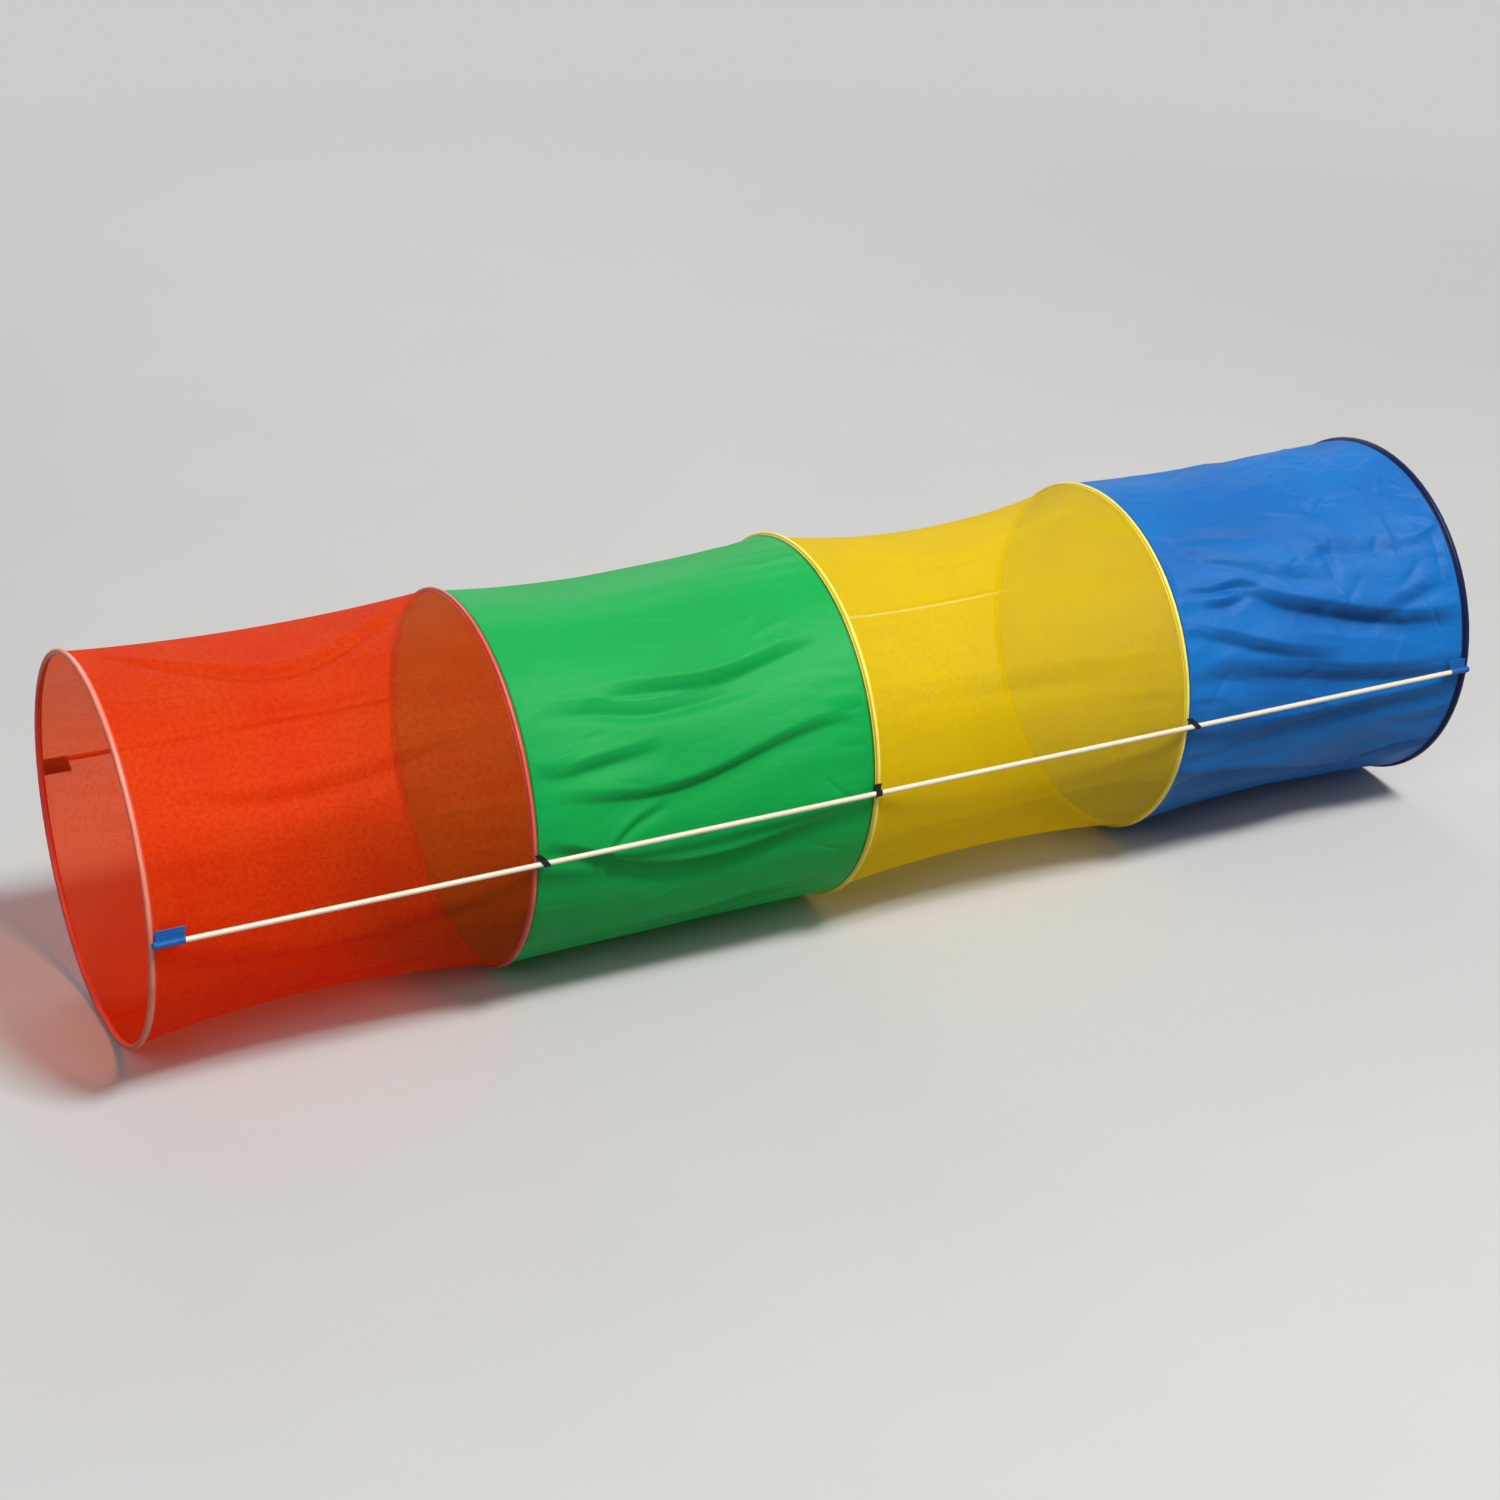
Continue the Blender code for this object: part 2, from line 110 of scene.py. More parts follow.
BLUE_FOLDS = (
    (((0.17, 0.622), (0.25, 0.632), (0.30, 0.644), (0.36, 0.655), (0.46, 0.664), (0.60, 0.678), (0.77, 0.691),
      (0.92, 0.695), (1.00, 0.696)), 0.0092, 0.030, 0.010),
    (((0.03, 0.629), (0.14, 0.633), (0.22, 0.630), (0.33, 0.634)), 0.0045, 0.007, 0.005),
    (((0.09, 0.644), (0.18, 0.647), (0.27, 0.640)), 0.0045, 0.008, 0.006),
    (((0.00, 0.662), (0.14, 0.676), (0.27, 0.691), (0.37, 0.701), (0.56, 0.715)), 0.0056, 0.014, 0.009),
    (((0.02, 0.572), (0.13, 0.593), (0.21, 0.606), (0.33, 0.620), (0.46, 0.632), (0.62, 0.645)),
     0.0030, 0.018, 0.010),
    (((0.05, 0.706), (0.26, 0.712), (0.40, 0.721), (0.58, 0.734), (0.81, 0.745), (1.00, 0.746)),
     0.0064, 0.020, 0.014),
    (((0.14, 0.784), (0.39, 0.775), (0.53, 0.773), (0.71, 0.771), (0.97, 0.770)), 0.0060, 0.016, 0.008),
    (((0.00, 0.812), (0.23, 0.822), (0.48, 0.845), (0.82, 0.876)), 0.0090, 0.022, 0.010),
    (((0.66, 0.862), (0.75, 0.851), (0.83, 0.838), (1.00, 0.834)), 0.0064, 0.014, 0.008),
    (((0.40, 0.600), (0.63, 0.614), (0.84, 0.619), (1.00, 0.616)), 0.0024, 0.014, 0.012),
    (((0.64, 0.690), (0.78, 0.675), (0.86, 0.668), (1.00, 0.656)), 0.0030, 0.012, 0.009),
    (((0.03, 0.571), (0.21, 0.576), (0.34, 0.582), (0.46, 0.577)), 0.0022, 0.010, 0.009),
    (((0.02, 0.340), (0.24, 0.326), (0.50, 0.312), (0.78, 0.322), (0.99, 0.340)), 0.0060, 0.026, 0.012),
    (((0.04, 0.255), (0.30, 0.240), (0.55, 0.248), (0.96, 0.232)), 0.0056, 0.022, 0.012),
    (((0.35, 0.398), (0.56, 0.388), (0.80, 0.372), (0.98, 0.368)), 0.0032, 0.018, 0.012),
    (((0.02, 0.176), (0.28, 0.160), (0.64, 0.152), (0.95, 0.165)), 0.0055, 0.020, 0.012),
    (((0.05, 0.440), (0.26, 0.452), (0.50, 0.446), (0.70, 0.458)), 0.0018, 0.016, 0.012),
)
RED_FOLDS = (
    (((0.02, 0.455), (0.09, 0.490), (0.20, 0.513), (0.37, 0.538), (0.53, 0.543), (0.68, 0.522), (0.85, 0.483),
      (0.98, 0.462)), 0.0066, 0.012, 0.005),
    (((0.02, 0.566), (0.18, 0.577), (0.36, 0.579), (0.56, 0.585), (0.80, 0.580), (0.97, 0.566)),
     0.0040, 0.014, 0.006),
    (((0.03, 0.636), (0.25, 0.652), (0.42, 0.655), (0.61, 0.650), (0.94, 0.630)), 0.0034, 0.016, 0.008),
    (((0.04, 0.780), (0.20, 0.790), (0.41, 0.800), (0.60, 0.798), (0.92, 0.780)), 0.0048, 0.016, 0.007),
    (((0.05, 0.845), (0.30, 0.856), (0.60, 0.850), (0.95, 0.838)), 0.0044, 0.014, 0.007),
    (((0.02, 0.340), (0.30, 0.352), (0.62, 0.346), (0.97, 0.330)), 0.0030, 0.016, 0.012),
    (((0.03, 0.212), (0.34, 0.200), (0.66, 0.206), (0.96, 0.220)), 0.0032, 0.016, 0.011),
)
YELLOW_FOLDS = (
    (((0.02, 0.500), (0.19, 0.512), (0.28, 0.529), (0.42, 0.537), (0.61, 0.524), (0.96, 0.492)),
     0.0030, 0.016, 0.010),
    (((0.02, 0.672), (0.22, 0.675), (0.41, 0.678), (0.70, 0.682), (0.97, 0.690)), 0.0020, 0.018, 0.014),
    (((0.02, 0.815), (0.30, 0.822), (0.62, 0.820), (0.97, 0.808)), 0.0028, 0.016, 0.011),
    (((0.03, 0.318), (0.30, 0.326), (0.60, 0.322), (0.97, 0.310)), 0.0024, 0.016, 0.012),
    (((0.03, 0.190), (0.34, 0.182), (0.66, 0.186), (0.96, 0.198)), 0.0026, 0.016, 0.011),
)


# Node helpers

def node(tree, kind, inputs=None, **settings):
    """A node with its settings, and its inputs set to numbers or linked to sockets."""
    made = tree.nodes.new(kind)
    for key, value in settings.items():
        setattr(made, key, value)
    for key, value in (inputs or {}).items():
        socket = made.inputs[key]
        if isinstance(value, bpy.types.NodeSocket):
            tree.links.new(value, socket)
        else:
            socket.default_value = value
    return made


def maths(tree, operation, first, second=None, third=None):
    inputs = {0: first}
    if second is not None:
        inputs[1] = second
    if third is not None:
        inputs[2] = third
    return node(tree, "ShaderNodeMath", inputs, operation=operation).outputs[0]


def minus(tree, first, second):
    return maths(tree, "SUBTRACT", first, second)


def times(tree, first, second):
    return maths(tree, "MULTIPLY", first, second)


def absolute(tree, value):
    return maths(tree, "ABSOLUTE", value)


def separate(tree, vector):
    return node(tree, "ShaderNodeSeparateXYZ", {"Vector": vector}).outputs


def blend_colour(tree, share, first, second):
    """Two colours mixed. Each is a socket or three numbers."""
    first, second = (c if isinstance(c, bpy.types.NodeSocket) else (*c, 1.0) for c in (first, second))
    return node(tree, "ShaderNodeMix", {0: share, 6: first, 7: second}, data_type="RGBA").outputs[2]


def remap(tree, value, low, high, to_low=0.0, to_high=1.0):
    inputs = {"Value": value, "From Min": low, "From Max": high, "To Min": to_low, "To Max": to_high}
    return node(tree, "ShaderNodeMapRange", inputs, interpolation_type="SMOOTHSTEP").outputs["Result"]


def layered(tree, colour, *layers):
    """A colour with others over it. Each has a value, the span that remaps it to a share, and its colour."""
    for value, span, over in layers:
        colour = blend_colour(tree, remap(tree, value, *span), colour, over)
    return colour


def new_material(name):
    material = bpy.data.materials.new(name)
    material.use_nodes = True
    material.node_tree.nodes.clear()
    return material, material.node_tree


def flat_coordinates(tree):
    """The cloth's own flat coordinates, in metres: round the tunnel, and along it."""
    return node(tree, "ShaderNodeUVMap", uv_map="flat").outputs["UV"]


def scaled(tree, vector, scale, turn=0.0):
    inputs = {"Vector": vector, "Scale": scale, "Rotation": (0.0, 0.0, turn)}
    return node(tree, "ShaderNodeMapping", inputs).outputs["Vector"]


def noise_value(tree, vector, scale, detail=3.0, roughness=0.5, distortion=0.0):
    return node(tree, "ShaderNodeTexNoise", {
        "Vector": vector, "Scale": scale, "Detail": detail, "Roughness": roughness, "Distortion": distortion,
    }).outputs["Fac"]


def wave(tree, value, pitch):
    return maths(tree, "SINE", times(tree, value, math.pi / pitch))


def threads(tree, value, pitch):
    """0 between two threads and 1 on the middle of one."""
    return absolute(tree, wave(tree, value, pitch))


def plain_weave(tree, vector, pitch):
    """Height of a plain weave, from 0 between the threads to 1 on the crown of one."""
    parts = separate(tree, vector)
    across, along = wave(tree, parts["X"], pitch), wave(tree, parts["Y"], pitch)
    over = maths(tree, "GREATER_THAN", times(tree, across, along), 0.0)
    warp = times(tree, absolute(tree, across), over)
    weft = times(tree, absolute(tree, along), minus(tree, 1.0, over))
    return maths(tree, "ADD", warp, weft)


def bump(tree, height, distance, strength, normal=None):
    inputs = {"Height": height, "Distance": distance, "Strength": strength}
    if normal is not None:
        inputs["Normal"] = normal
    return node(tree, "ShaderNodeBump", inputs).outputs["Normal"]


def stitch_row(tree, along, from_row):
    """1 on the stitches of a row: 3 mm from one to the next, 0.5 mm thick."""
    pitch, half_stitch, thread, thread_edge = 0.003, 0.36, 0.00018, 0.00034
    step = maths(tree, "FRACT", maths(tree, "DIVIDE", along, pitch))
    dash = maths(tree, "LESS_THAN", absolute(tree, minus(tree, step, 0.5)), half_stitch)
    return times(tree, dash, remap(tree, from_row, thread, thread_edge, 1.0, 0.0))


def lapped_seam(tree, flat):
    """The seam along the tube's underside: 1 where the cloth lies double, and 1 on its stitches."""
    lap, lap_edge, row = 0.0052, 0.0058, 0.0042
    parts = separate(tree, flat)
    away = maths(tree, "MINIMUM", parts["X"], minus(tree, CLOTH_ROUND, parts["X"]))
    double = remap(tree, away, lap, lap_edge, 1.0, 0.0)
    return double, stitch_row(tree, parts["Y"], absolute(tree, minus(tree, away, row)))


def painted_sheen_line(tree, flat, start, end):
    """1 on a thin painted sheen line from one place on the flat cloth to another, which fades out at its end.
    """
    core, edge, fades_from = 0.0004, 0.0026, 0.7
    parts = separate(tree, flat)
    run = maths(tree, "DIVIDE", minus(tree, parts["Y"], start[1]), end[1] - start[1])
    line = maths(tree, "MULTIPLY_ADD", run, end[0] - start[0], start[0])
    off = absolute(tree, minus(tree, parts["X"], line))
    return times(tree, remap(tree, off, core, edge, 1.0, 0.0), remap(tree, run, fades_from, 1.0, 1.0, 0.0))


def seen_rays(tree):
    """1 for the rays that show a background to the camera, straight or in glossy and clear things."""
    path = node(tree, "ShaderNodeLightPath")
    seen = maths(tree, "MAXIMUM", path.outputs["Is Camera Ray"], path.outputs["Is Glossy Ray"])
    return maths(tree, "MAXIMUM", seen, path.outputs["Is Transmission Ray"])


def mix_shaders(tree, share, first, second):
    return node(tree, "ShaderNodeMixShader", {0: share, 1: first.outputs[0], 2: second.outputs[0]})


def output(tree, shader):
    node(tree, "ShaderNodeOutputMaterial", {"Surface": shader.outputs[0]})


# Materials

def taffeta(name, deep, plain, pale, wrinkle_size, seed, through_share=0.3, painted_fold_shade=0.0):
    """Light woven nylon: a fine weave, slubs, small wrinkles, a soft sheen, and light coming through it."""
    material, tree = new_material(name)
    flat = flat_coordinates(tree)
    cloud = noise_value(tree, scaled(tree, flat, (1.0, 0.6, 1.0)), 5.0 + seed, 3.0)
    slubs_along = noise_value(tree, scaled(tree, flat, (1500.0, 30.0, 1.0)), 1.0, 2.0)
    slubs_round = noise_value(tree, scaled(tree, flat, (30.0, 1500.0, 1.0)), 1.0, 2.0)
    slubs = maths(tree, "ADD", slubs_along, slubs_round)
    weave = plain_weave(tree, flat, WEAVE_PITCH)
    wrinkles = noise_value(tree, scaled(tree, flat, (1.0, 0.5, 1.0)), 1.0 / wrinkle_size, 3.0, 0.5, 0.5)
    ridges = absolute(tree, minus(tree, wrinkles, 0.5))
    double, stitches = lapped_seam(tree, flat)
    along = separate(tree, flat)["Y"]
    from_hoop = maths(tree, "MINIMUM", along, minus(tree, BAY_LENGTH, along))

    colour = layered(
        tree, plain, (cloud, (0.35, 0.7, 0.0, 0.45), deep), (slubs, (0.85, 1.3, 0.0, 0.10), pale),
        (ridges, (0.0, 0.03, 0.03, 0.0), pale), (weave, (0.0, 0.5, 0.16, 0.0), deep),
    )
    colour = blend_colour(tree, times(tree, double, 0.35), colour, deep)
    colour = blend_colour(tree, stitches, colour, pale)
    # Painted shade: the cloth is darker on the undersides of its folds
    underside = node(tree, "ShaderNodeAttribute", attribute_name="underside").outputs["Fac"]
    colour = blend_colour(tree, times(tree, underside, painted_fold_shade), colour, [c * 0.4 for c in deep])
    # Painted shadow in the corner under the binding's lip: a dark band close to each hoop
    colour = layered(tree, colour, (from_hoop, (0.0046, 0.0074, 0.8, 0.0), [c * 0.2 for c in deep]))

    normal = bump(tree, remap(tree, ridges, 0.0, 0.10), 0.0006, 0.35)
    normal = bump(tree, slubs, 0.00006, 0.5, normal)
    normal = bump(tree, weave, 0.00007, 0.5, normal)
    normal = bump(tree, maths(tree, "MAXIMUM", times(tree, double, 0.5), stitches), 0.0006, 0.6, normal)
    front = node(tree, "ShaderNodeBsdfPrincipled", {
        "Base Color": colour, "Roughness": remap(tree, cloud, 0.2, 0.8, 0.44, 0.54), "Normal": normal,
        "Specular IOR Level": 0.25, "Sheen Weight": 0.03, "Sheen Roughness": 0.3, "Sheen Tint": (*pale, 1.0),
    })
    through = node(tree, "ShaderNodeBsdfTranslucent", {"Color": colour, "Normal": normal})
    output(tree, mix_shaders(tree, through_share, front, through))
    return material


def net(name, thread, glow, tint, hole_edge, see_through, through_share, mottled, sheen_line_ends=None):
    """Sheer knitted net: fine diamond holes between coloured threads that are partly see-through too."""
    material, tree = new_material(name)
    flat = flat_coordinates(tree)
    parts = separate(tree, scaled(tree, flat, (1.0, 1.0, 1.0), math.radians(45)))
    moved = []
    for axis, stretch in (("X", (1.0, 0.8, 1.0)), ("Y", (0.8, 1.0, 1.0))):
        wander = noise_value(tree, scaled(tree, flat, stretch), 280.0, 2.0)
        moved.append(maths(tree, "MULTIPLY_ADD", wander, 0.0022, parts[axis]))
    sides = [threads(tree, value, NET_PITCH) for value in moved]
    hole = maths(tree, "MINIMUM", *sides)
    knots = maths(tree, "MAXIMUM", *sides)
    patches = noise_value(tree, flat, 13.0, 5.0, 0.6)
    rows = noise_value(tree, scaled(tree, flat, (900.0, 7.0, 1.0)), 1.0, 2.0)
    double, stitches = lapped_seam(tree, flat)
    grain = noise_value(tree, flat, 420.0, 3.0, 0.6)
    mottle = noise_value(tree, flat, 170.0, 3.0, 0.6)
    # The holes are wider and narrower in patches
    edge = hole_edge
    for value, amount in ((patches, 0.12), (mottle, 0.30 * mottled), (grain, 0.30)):
        edge = maths(tree, "MULTIPLY_ADD", minus(tree, value, 0.5), amount, edge)
    clear_share = remap(tree, minus(tree, hole, edge), -0.05, 0.05)
    clear_share = times(tree, clear_share, minus(tree, 1.0, double))

    colour = layered(
        tree, thread, (patches, (0.3, 0.7, 0.0, 0.5), glow), (grain, (0.35, 0.65, 0.0, 0.4), glow),
        (mottle, (0.38, 0.60, 0.9 * mottled, 0.0), [c * 0.62 for c in thread]),
        (rows, (0.35, 0.7, 0.0, 0.3), glow),
    )
    colour = blend_colour(tree, stitches, colour, glow)
    # Painted sheen: a pale line across the net, with fewer clear holes on it
    if sheen_line_ends:
        sheen_line_share = painted_sheen_line(tree, flat, *sheen_line_ends)
        colour = blend_colour(tree, times(tree, sheen_line_share, 0.45), colour, (1.0, 0.93, 0.40))
        clear_share = times(tree, clear_share, minus(tree, 1.0, sheen_line_share))
    normal = bump(tree, minus(tree, 1.0, hole), 0.0002, 0.5)
    normal = bump(tree, patches, 0.0012, 0.2, normal)
    normal = bump(tree, stitches, 0.0005, 0.6, normal)
    solid = node(tree, "ShaderNodeBsdfPrincipled", {
        "Base Color": colour, "Roughness": remap(tree, knots, 0.4, 1.0, 0.75, 0.5), "Normal": normal,
        "Specular IOR Level": 0.10, "Sheen Weight": 0.06, "Sheen Roughness": 0.4, "Sheen Tint": (*glow, 1.0),
    })
    lit_through = node(tree, "ShaderNodeBsdfTranslucent", {"Color": colour, "Normal": normal})
    body = mix_shaders(tree, through_share, solid, lit_through)
    seen_through = node(tree, "ShaderNodeBsdfTransparent", {"Color": (*tint, 1.0)})
    clear = node(tree, "ShaderNodeBsdfTransparent", {"Color": (1.0, 1.0, 1.0, 1.0)})
    output(tree, mix_shaders(tree, clear_share, mix_shaders(tree, see_through, body, seen_through), clear))
    return material


def tape(name, deep, plain, pale, stitch, shine=0.5, gloss=0.5):
    """Folded satin binding tape: fine ribs across it, puckers at the stitches and two rows of stitching."""
    material, tree = new_material(name)
    flat = flat_coordinates(tree)
    parts = separate(tree, flat)
    ribs = threads(tree, parts["X"], 0.0006)
    shade = noise_value(tree, scaled(tree, flat, (1.0, 6.0, 1.0)), 26.0, 4.0, 0.6)
    puckers = noise_value(tree, scaled(tree, flat, (1.0, 0.25, 1.0)), 260.0, 2.0)
    from_crown, row = absolute(tree, parts["Y"]), 0.0058
    stitches = stitch_row(tree, parts["X"], absolute(tree, minus(tree, from_crown, row)))

    # Painted highlight: the tape is paler along its crown, and deeper towards its lips
    crown_highlight = remap(tree, from_crown, 0.0012, 0.0048, 0.7, 0.0)
    crown_highlight = times(tree, crown_highlight, remap(tree, shade, 0.25, 0.6, 0.6, 1.0))
    colour = layered(tree, deep, (shade, (0.3, 0.7), plain))
    colour = blend_colour(tree, crown_highlight, colour, pale)
    colour = layered(tree, colour, (ribs, (0.4, 1.0, 0.0, 0.2), pale))
    colour = blend_colour(tree, stitches, colour, stitch)
    normal = bump(tree, puckers, 0.0007, 0.45)
    normal = bump(tree, ribs, 0.00006, 0.4, normal)
    normal = bump(tree, stitches, 0.00035, 0.8, normal)
    surface = node(tree, "ShaderNodeBsdfPrincipled", {
        "Base Color": colour, "Roughness": remap(tree, shade, 0.2, 0.8, 0.34, 0.46), "Normal": normal,
        "Specular IOR Level": gloss,
        "Sheen Weight": shine, "Sheen Roughness": 0.3, "Sheen Tint": (*pale, 1.0),
    })
    output(tree, surface)
    return material


def elastic(name):
    """Woven black elastic: cords of rubber along it, and thread across."""
    material, tree = new_material(name)
    flat = flat_coordinates(tree)
    parts = separate(tree, flat)
    cords = threads(tree, parts["Y"], 0.0008)
    crossing = threads(tree, parts["X"], 0.0005)
    fuzz = noise_value(tree, flat, 900.0, 3.0)
    colour = layered(
        tree, (0.002, 0.002, 0.003),
        (cords, (0.2, 1.0), (0.011, 0.011, 0.013)), (fuzz, (0.5, 0.8, 0.0, 0.3), (0.035, 0.035, 0.04)),
    )
    normal = bump(tree, cords, 0.0003, 0.8)
    normal = bump(tree, crossing, 0.00012, 0.6, normal)
    surface = node(tree, "ShaderNodeBsdfPrincipled", {
        "Base Color": colour, "Roughness": remap(tree, fuzz, 0.3, 0.7, 0.7, 0.85), "Normal": normal,
        "Specular IOR Level": 0.2, "Sheen Weight": 0.06, "Sheen Roughness": 0.5,
    })
    output(tree, surface)
    return material


def pole(name, plain, shade, roughness):
    """Drawn plastic or glass fibre: faint lines along it, small scuffs and a little dirt."""
    material, tree = new_material(name)
    place = node(tree, "ShaderNodeTexCoord").outputs["Object"]
    lines = noise_value(tree, scaled(tree, place, (1.5, 900.0, 900.0)), 1.0, 2.0)
    cloud = noise_value(tree, place, 14.0, 4.0, 0.6)
    scuffs = noise_value(tree, scaled(tree, place, (30.0, 160.0, 160.0)), 3.0, 5.0, 0.7)
    scuff = remap(tree, scuffs, 0.62, 0.74)
    colour = layered(
        tree, plain, (lines, (0.3, 0.7, 0.0, 0.35), shade), (cloud, (0.4, 0.75, 0.0, 0.5), shade),
    )
    colour = blend_colour(tree, times(tree, scuff, 0.35), colour, (0.42, 0.38, 0.30))
    normal = bump(tree, lines, 0.00005, 0.6)
    normal = bump(tree, scuffs, 0.0001, 0.4, normal)
    surface = node(tree, "ShaderNodeBsdfPrincipled", {
        "Base Color": colour, "Normal": normal, "Specular IOR Level": 0.5,
        "Roughness": remap(tree, scuffs, 0.4, 0.75, roughness, roughness + 0.22),
    })
    output(tree, surface)
    return material


def steel(name):
    """Drawn steel tube with lines along it."""
    material, tree = new_material(name)
    place = node(tree, "ShaderNodeTexCoord").outputs["Object"]
    lines = noise_value(tree, scaled(tree, place, (1500.0, 40.0, 1500.0)), 1.0, 3.0)
    spots = noise_value(tree, place, 500.0, 3.0)
    colour = layered(
        tree, (0.42, 0.42, 0.44),
        (lines, (0.3, 0.7), (0.66, 0.66, 0.68)), (spots, (0.62, 0.8, 0.0, 0.5), (0.25, 0.22, 0.2)),
    )
    surface = node(tree, "ShaderNodeBsdfPrincipled", {
        "Base Color": colour, "Metallic": 1.0, "Normal": bump(tree, lines, 0.00003, 0.6),
        "Roughness": remap(tree, lines, 0.2, 0.8, 0.24, 0.42),
    })
    output(tree, surface)
    return material


def ground(name):
    """Plain pale floor with a very faint grain."""
    material, tree = new_material(name)
    place = node(tree, "ShaderNodeTexCoord").outputs["Object"]
    grain = noise_value(tree, place, 3.0, 5.0, 0.6)
    pale = blend_colour(tree, grain, (0.52, 0.52, 0.515), (0.55, 0.55, 0.545))
    # Pale where it is seen, and darker for the light that it throws back up at the object, as turf is
    seen = seen_rays(tree)
    colour = blend_colour(tree, seen, (0.22, 0.22, 0.215), pale)
    surface = node(tree, "ShaderNodeBsdfPrincipled", {
        "Base Color": colour, "Roughness": 0.85, "Specular IOR Level": 0.2,
    })
    # Far from the object, where the lamps don't reach, it stays as pale as it is near
    distance = node(tree, "ShaderNodeVectorMath", {0: place}, operation="LENGTH").outputs["Value"]
    far = times(tree, remap(tree, distance, 1.6, 4.5), seen)
    backdrop = node(tree, "ShaderNodeEmission", {"Color": (*BACKDROP, 1.0), "Strength": 1.0})
    output(tree, mix_shaders(tree, far, surface, backdrop))
    return material


# Mesh helpers

def add_object(name, mesh, material):
    mesh.materials.append(material)
    mesh.shade_smooth()
    made = bpy.data.objects.new(name, mesh)
    bpy.context.scene.collection.objects.link(made)
    return made


def grid_mesh(name, points, flat, wrap_columns=False, wrap_rows=False):
    """Quads over a grid of points, rows by columns, and a UV map named flat with the grid's flat coordinates.
    flat has one more column or row than points where the grid closes on itself that way."""
    rows, columns = points.shape[:2]
    row_steps = np.arange(rows if wrap_rows else rows - 1)
    column_steps = np.arange(columns if wrap_columns else columns - 1)
    r, c = (a.ravel() for a in np.meshgrid(row_steps, column_steps, indexing="ij"))
    corners = ((r, c), (r, c + 1), (r + 1, c + 1), (r + 1, c))
    faces = np.stack([(a % rows) * columns + b % columns for a, b in corners], axis=1)
    uvs = np.stack([flat[a, b] for a, b in corners], axis=1)
    mesh = bpy.data.meshes.new(name)
    mesh.from_pydata(points.reshape(-1, 3).tolist(), [], faces.tolist())
    layer = mesh.uv_layers.new(name="flat")
    layer.data.foreach_set("uv", uvs.astype(np.float32).ravel())
    mesh.update()
    return mesh


def flat_grid(down, across):
    """The flat coordinates of a grid, from those of its rows and of its columns."""
    v, u = np.meshgrid(down, across, indexing="ij")
    return np.stack([u, v], axis=2)


def travelled_along(line):
    """How far along a line of points each of them lies."""
    return np.concatenate([[0.0], np.cumsum(np.linalg.norm(np.diff(line, axis=0), axis=1))])


# The bays

def fold_rise(share, angle, fold):
    """Height of one fold above the plain cloth: a steep step along its line, from a ridge down into a furrow,
    and long gentle slopes away from both."""
    points, height, slope, step = fold
    shares, turns = np.array(points).T
    steps = np.linspace(shares[0], shares[-1], 80)
    line = np.interp(steps, shares, turns)
    for _ in range(3):
        line = np.convolve(np.pad(line, 4, mode="edge"), np.full(9, 1 / 9), mode="valid")
    run = (share - shares[0]) / (shares[-1] - shares[0])
    fade = np.sin(np.pi * np.clip(run, 0, 1)) ** 0.8
    across = (angle / math.tau - np.interp(share, steps, line)) * CLOTH_ROUND
    if turns.mean() < 0.5:
        across = -across
    side = np.clip(across / step, -1, 1)
    beyond = np.maximum(np.abs(across) - step, 0) / slope
    away = np.where(across > 0, beyond * beyond, np.sqrt(beyond * beyond + 0.004) - 0.0632)
    # How far each point lies on a fold's underside, where the cloth's material paints shade
    underside = min(height / 0.010, 1) * fade * np.exp(-((across - 0.3 * step) / (1.4 * step)) ** 2)
    return -height * fade * side * np.where(across > 0, 1.0, 0.7) * np.exp(-away), underside


def smooth_noise(seed, share, angle, along, round_it):
    """Noise that runs on round the tunnel, with along features per bay length and round_it per radian."""
    shift = Vector((seed * 17.3, seed * 5.1, seed * 9.7))
    places = np.stack([share * along, np.cos(angle) * round_it, np.sin(angle) * round_it], axis=2)
    values = [
        noise.noise(Vector(place) + shift, noise_basis="PERLIN_ORIGINAL")
        for place in places.reshape(-1, 3).tolist()
    ]
    return np.array(values).reshape(share.shape)


def creases(share, angle, seed, count, slant, height, along=(0.0, BAY_LENGTH), turns=(0.0, 1.0), spread=0.45):
    """Short crisp creases left by packing: thin ridges and furrows, most of them slanting one way."""
    random = np.random.default_rng(seed)
    total = np.zeros(share.shape)
    for _ in range(count):
        middle, turn = random.uniform(*along), random.uniform(*turns) * math.tau
        way = random.normal(slant, spread)
        half, width = random.uniform(0.015, 0.06), random.uniform(0.0028, 0.0065)
        bend, rise = random.uniform(-0.12, 0.12), random.uniform(0.35, 1.0) * random.choice((-1, 1))
        away = share * BAY_LENGTH - middle
        round_it = ((angle - turn + math.pi) % math.tau - math.pi) * HOOP_RADIUS
        run = (away * math.cos(way) + round_it * math.sin(way)) / half
        off = (round_it * math.cos(way) - away * math.sin(way) - bend * half * run * run) / width
        total += rise * np.exp(-np.abs(off) ** 1.4) * np.clip(1 - run * run, 0, 1) ** 1.5
    return height * total


def gathers(share, angle, seed, depth):
    """Small puckers where the cloth is sewn to its hoops, which fade within a few centimetres."""
    random = np.random.default_rng(seed)
    total = np.zeros(share.shape)
    reach = 0.07
    for start in (0.0, 1.0):
        away = np.abs(share - start)
        waves = np.zeros(share.shape)
        for _ in range(14):
            count = random.integers(18, 64)
            phase = random.uniform(0, math.tau)
            bend = random.uniform(-3.0, 3.0)
            waves += random.uniform(0.3, 1.0) * np.cos(count * angle + phase + bend * away * count * 0.15)
        total += waves / 5 * (away / reach) * np.exp(1 - away / reach)
    return depth * total


def beside_hoops(share, depth):
    """The narrow trough between a binding's lip and the cloth."""
    trough, half_width = 0.0068, 0.0022
    away = np.minimum(share, 1 - share) * (BAY_LENGTH - 2 * BAY_INSET) + BAY_INSET
    return -depth * np.exp(-((away - trough) / half_width) ** 2)


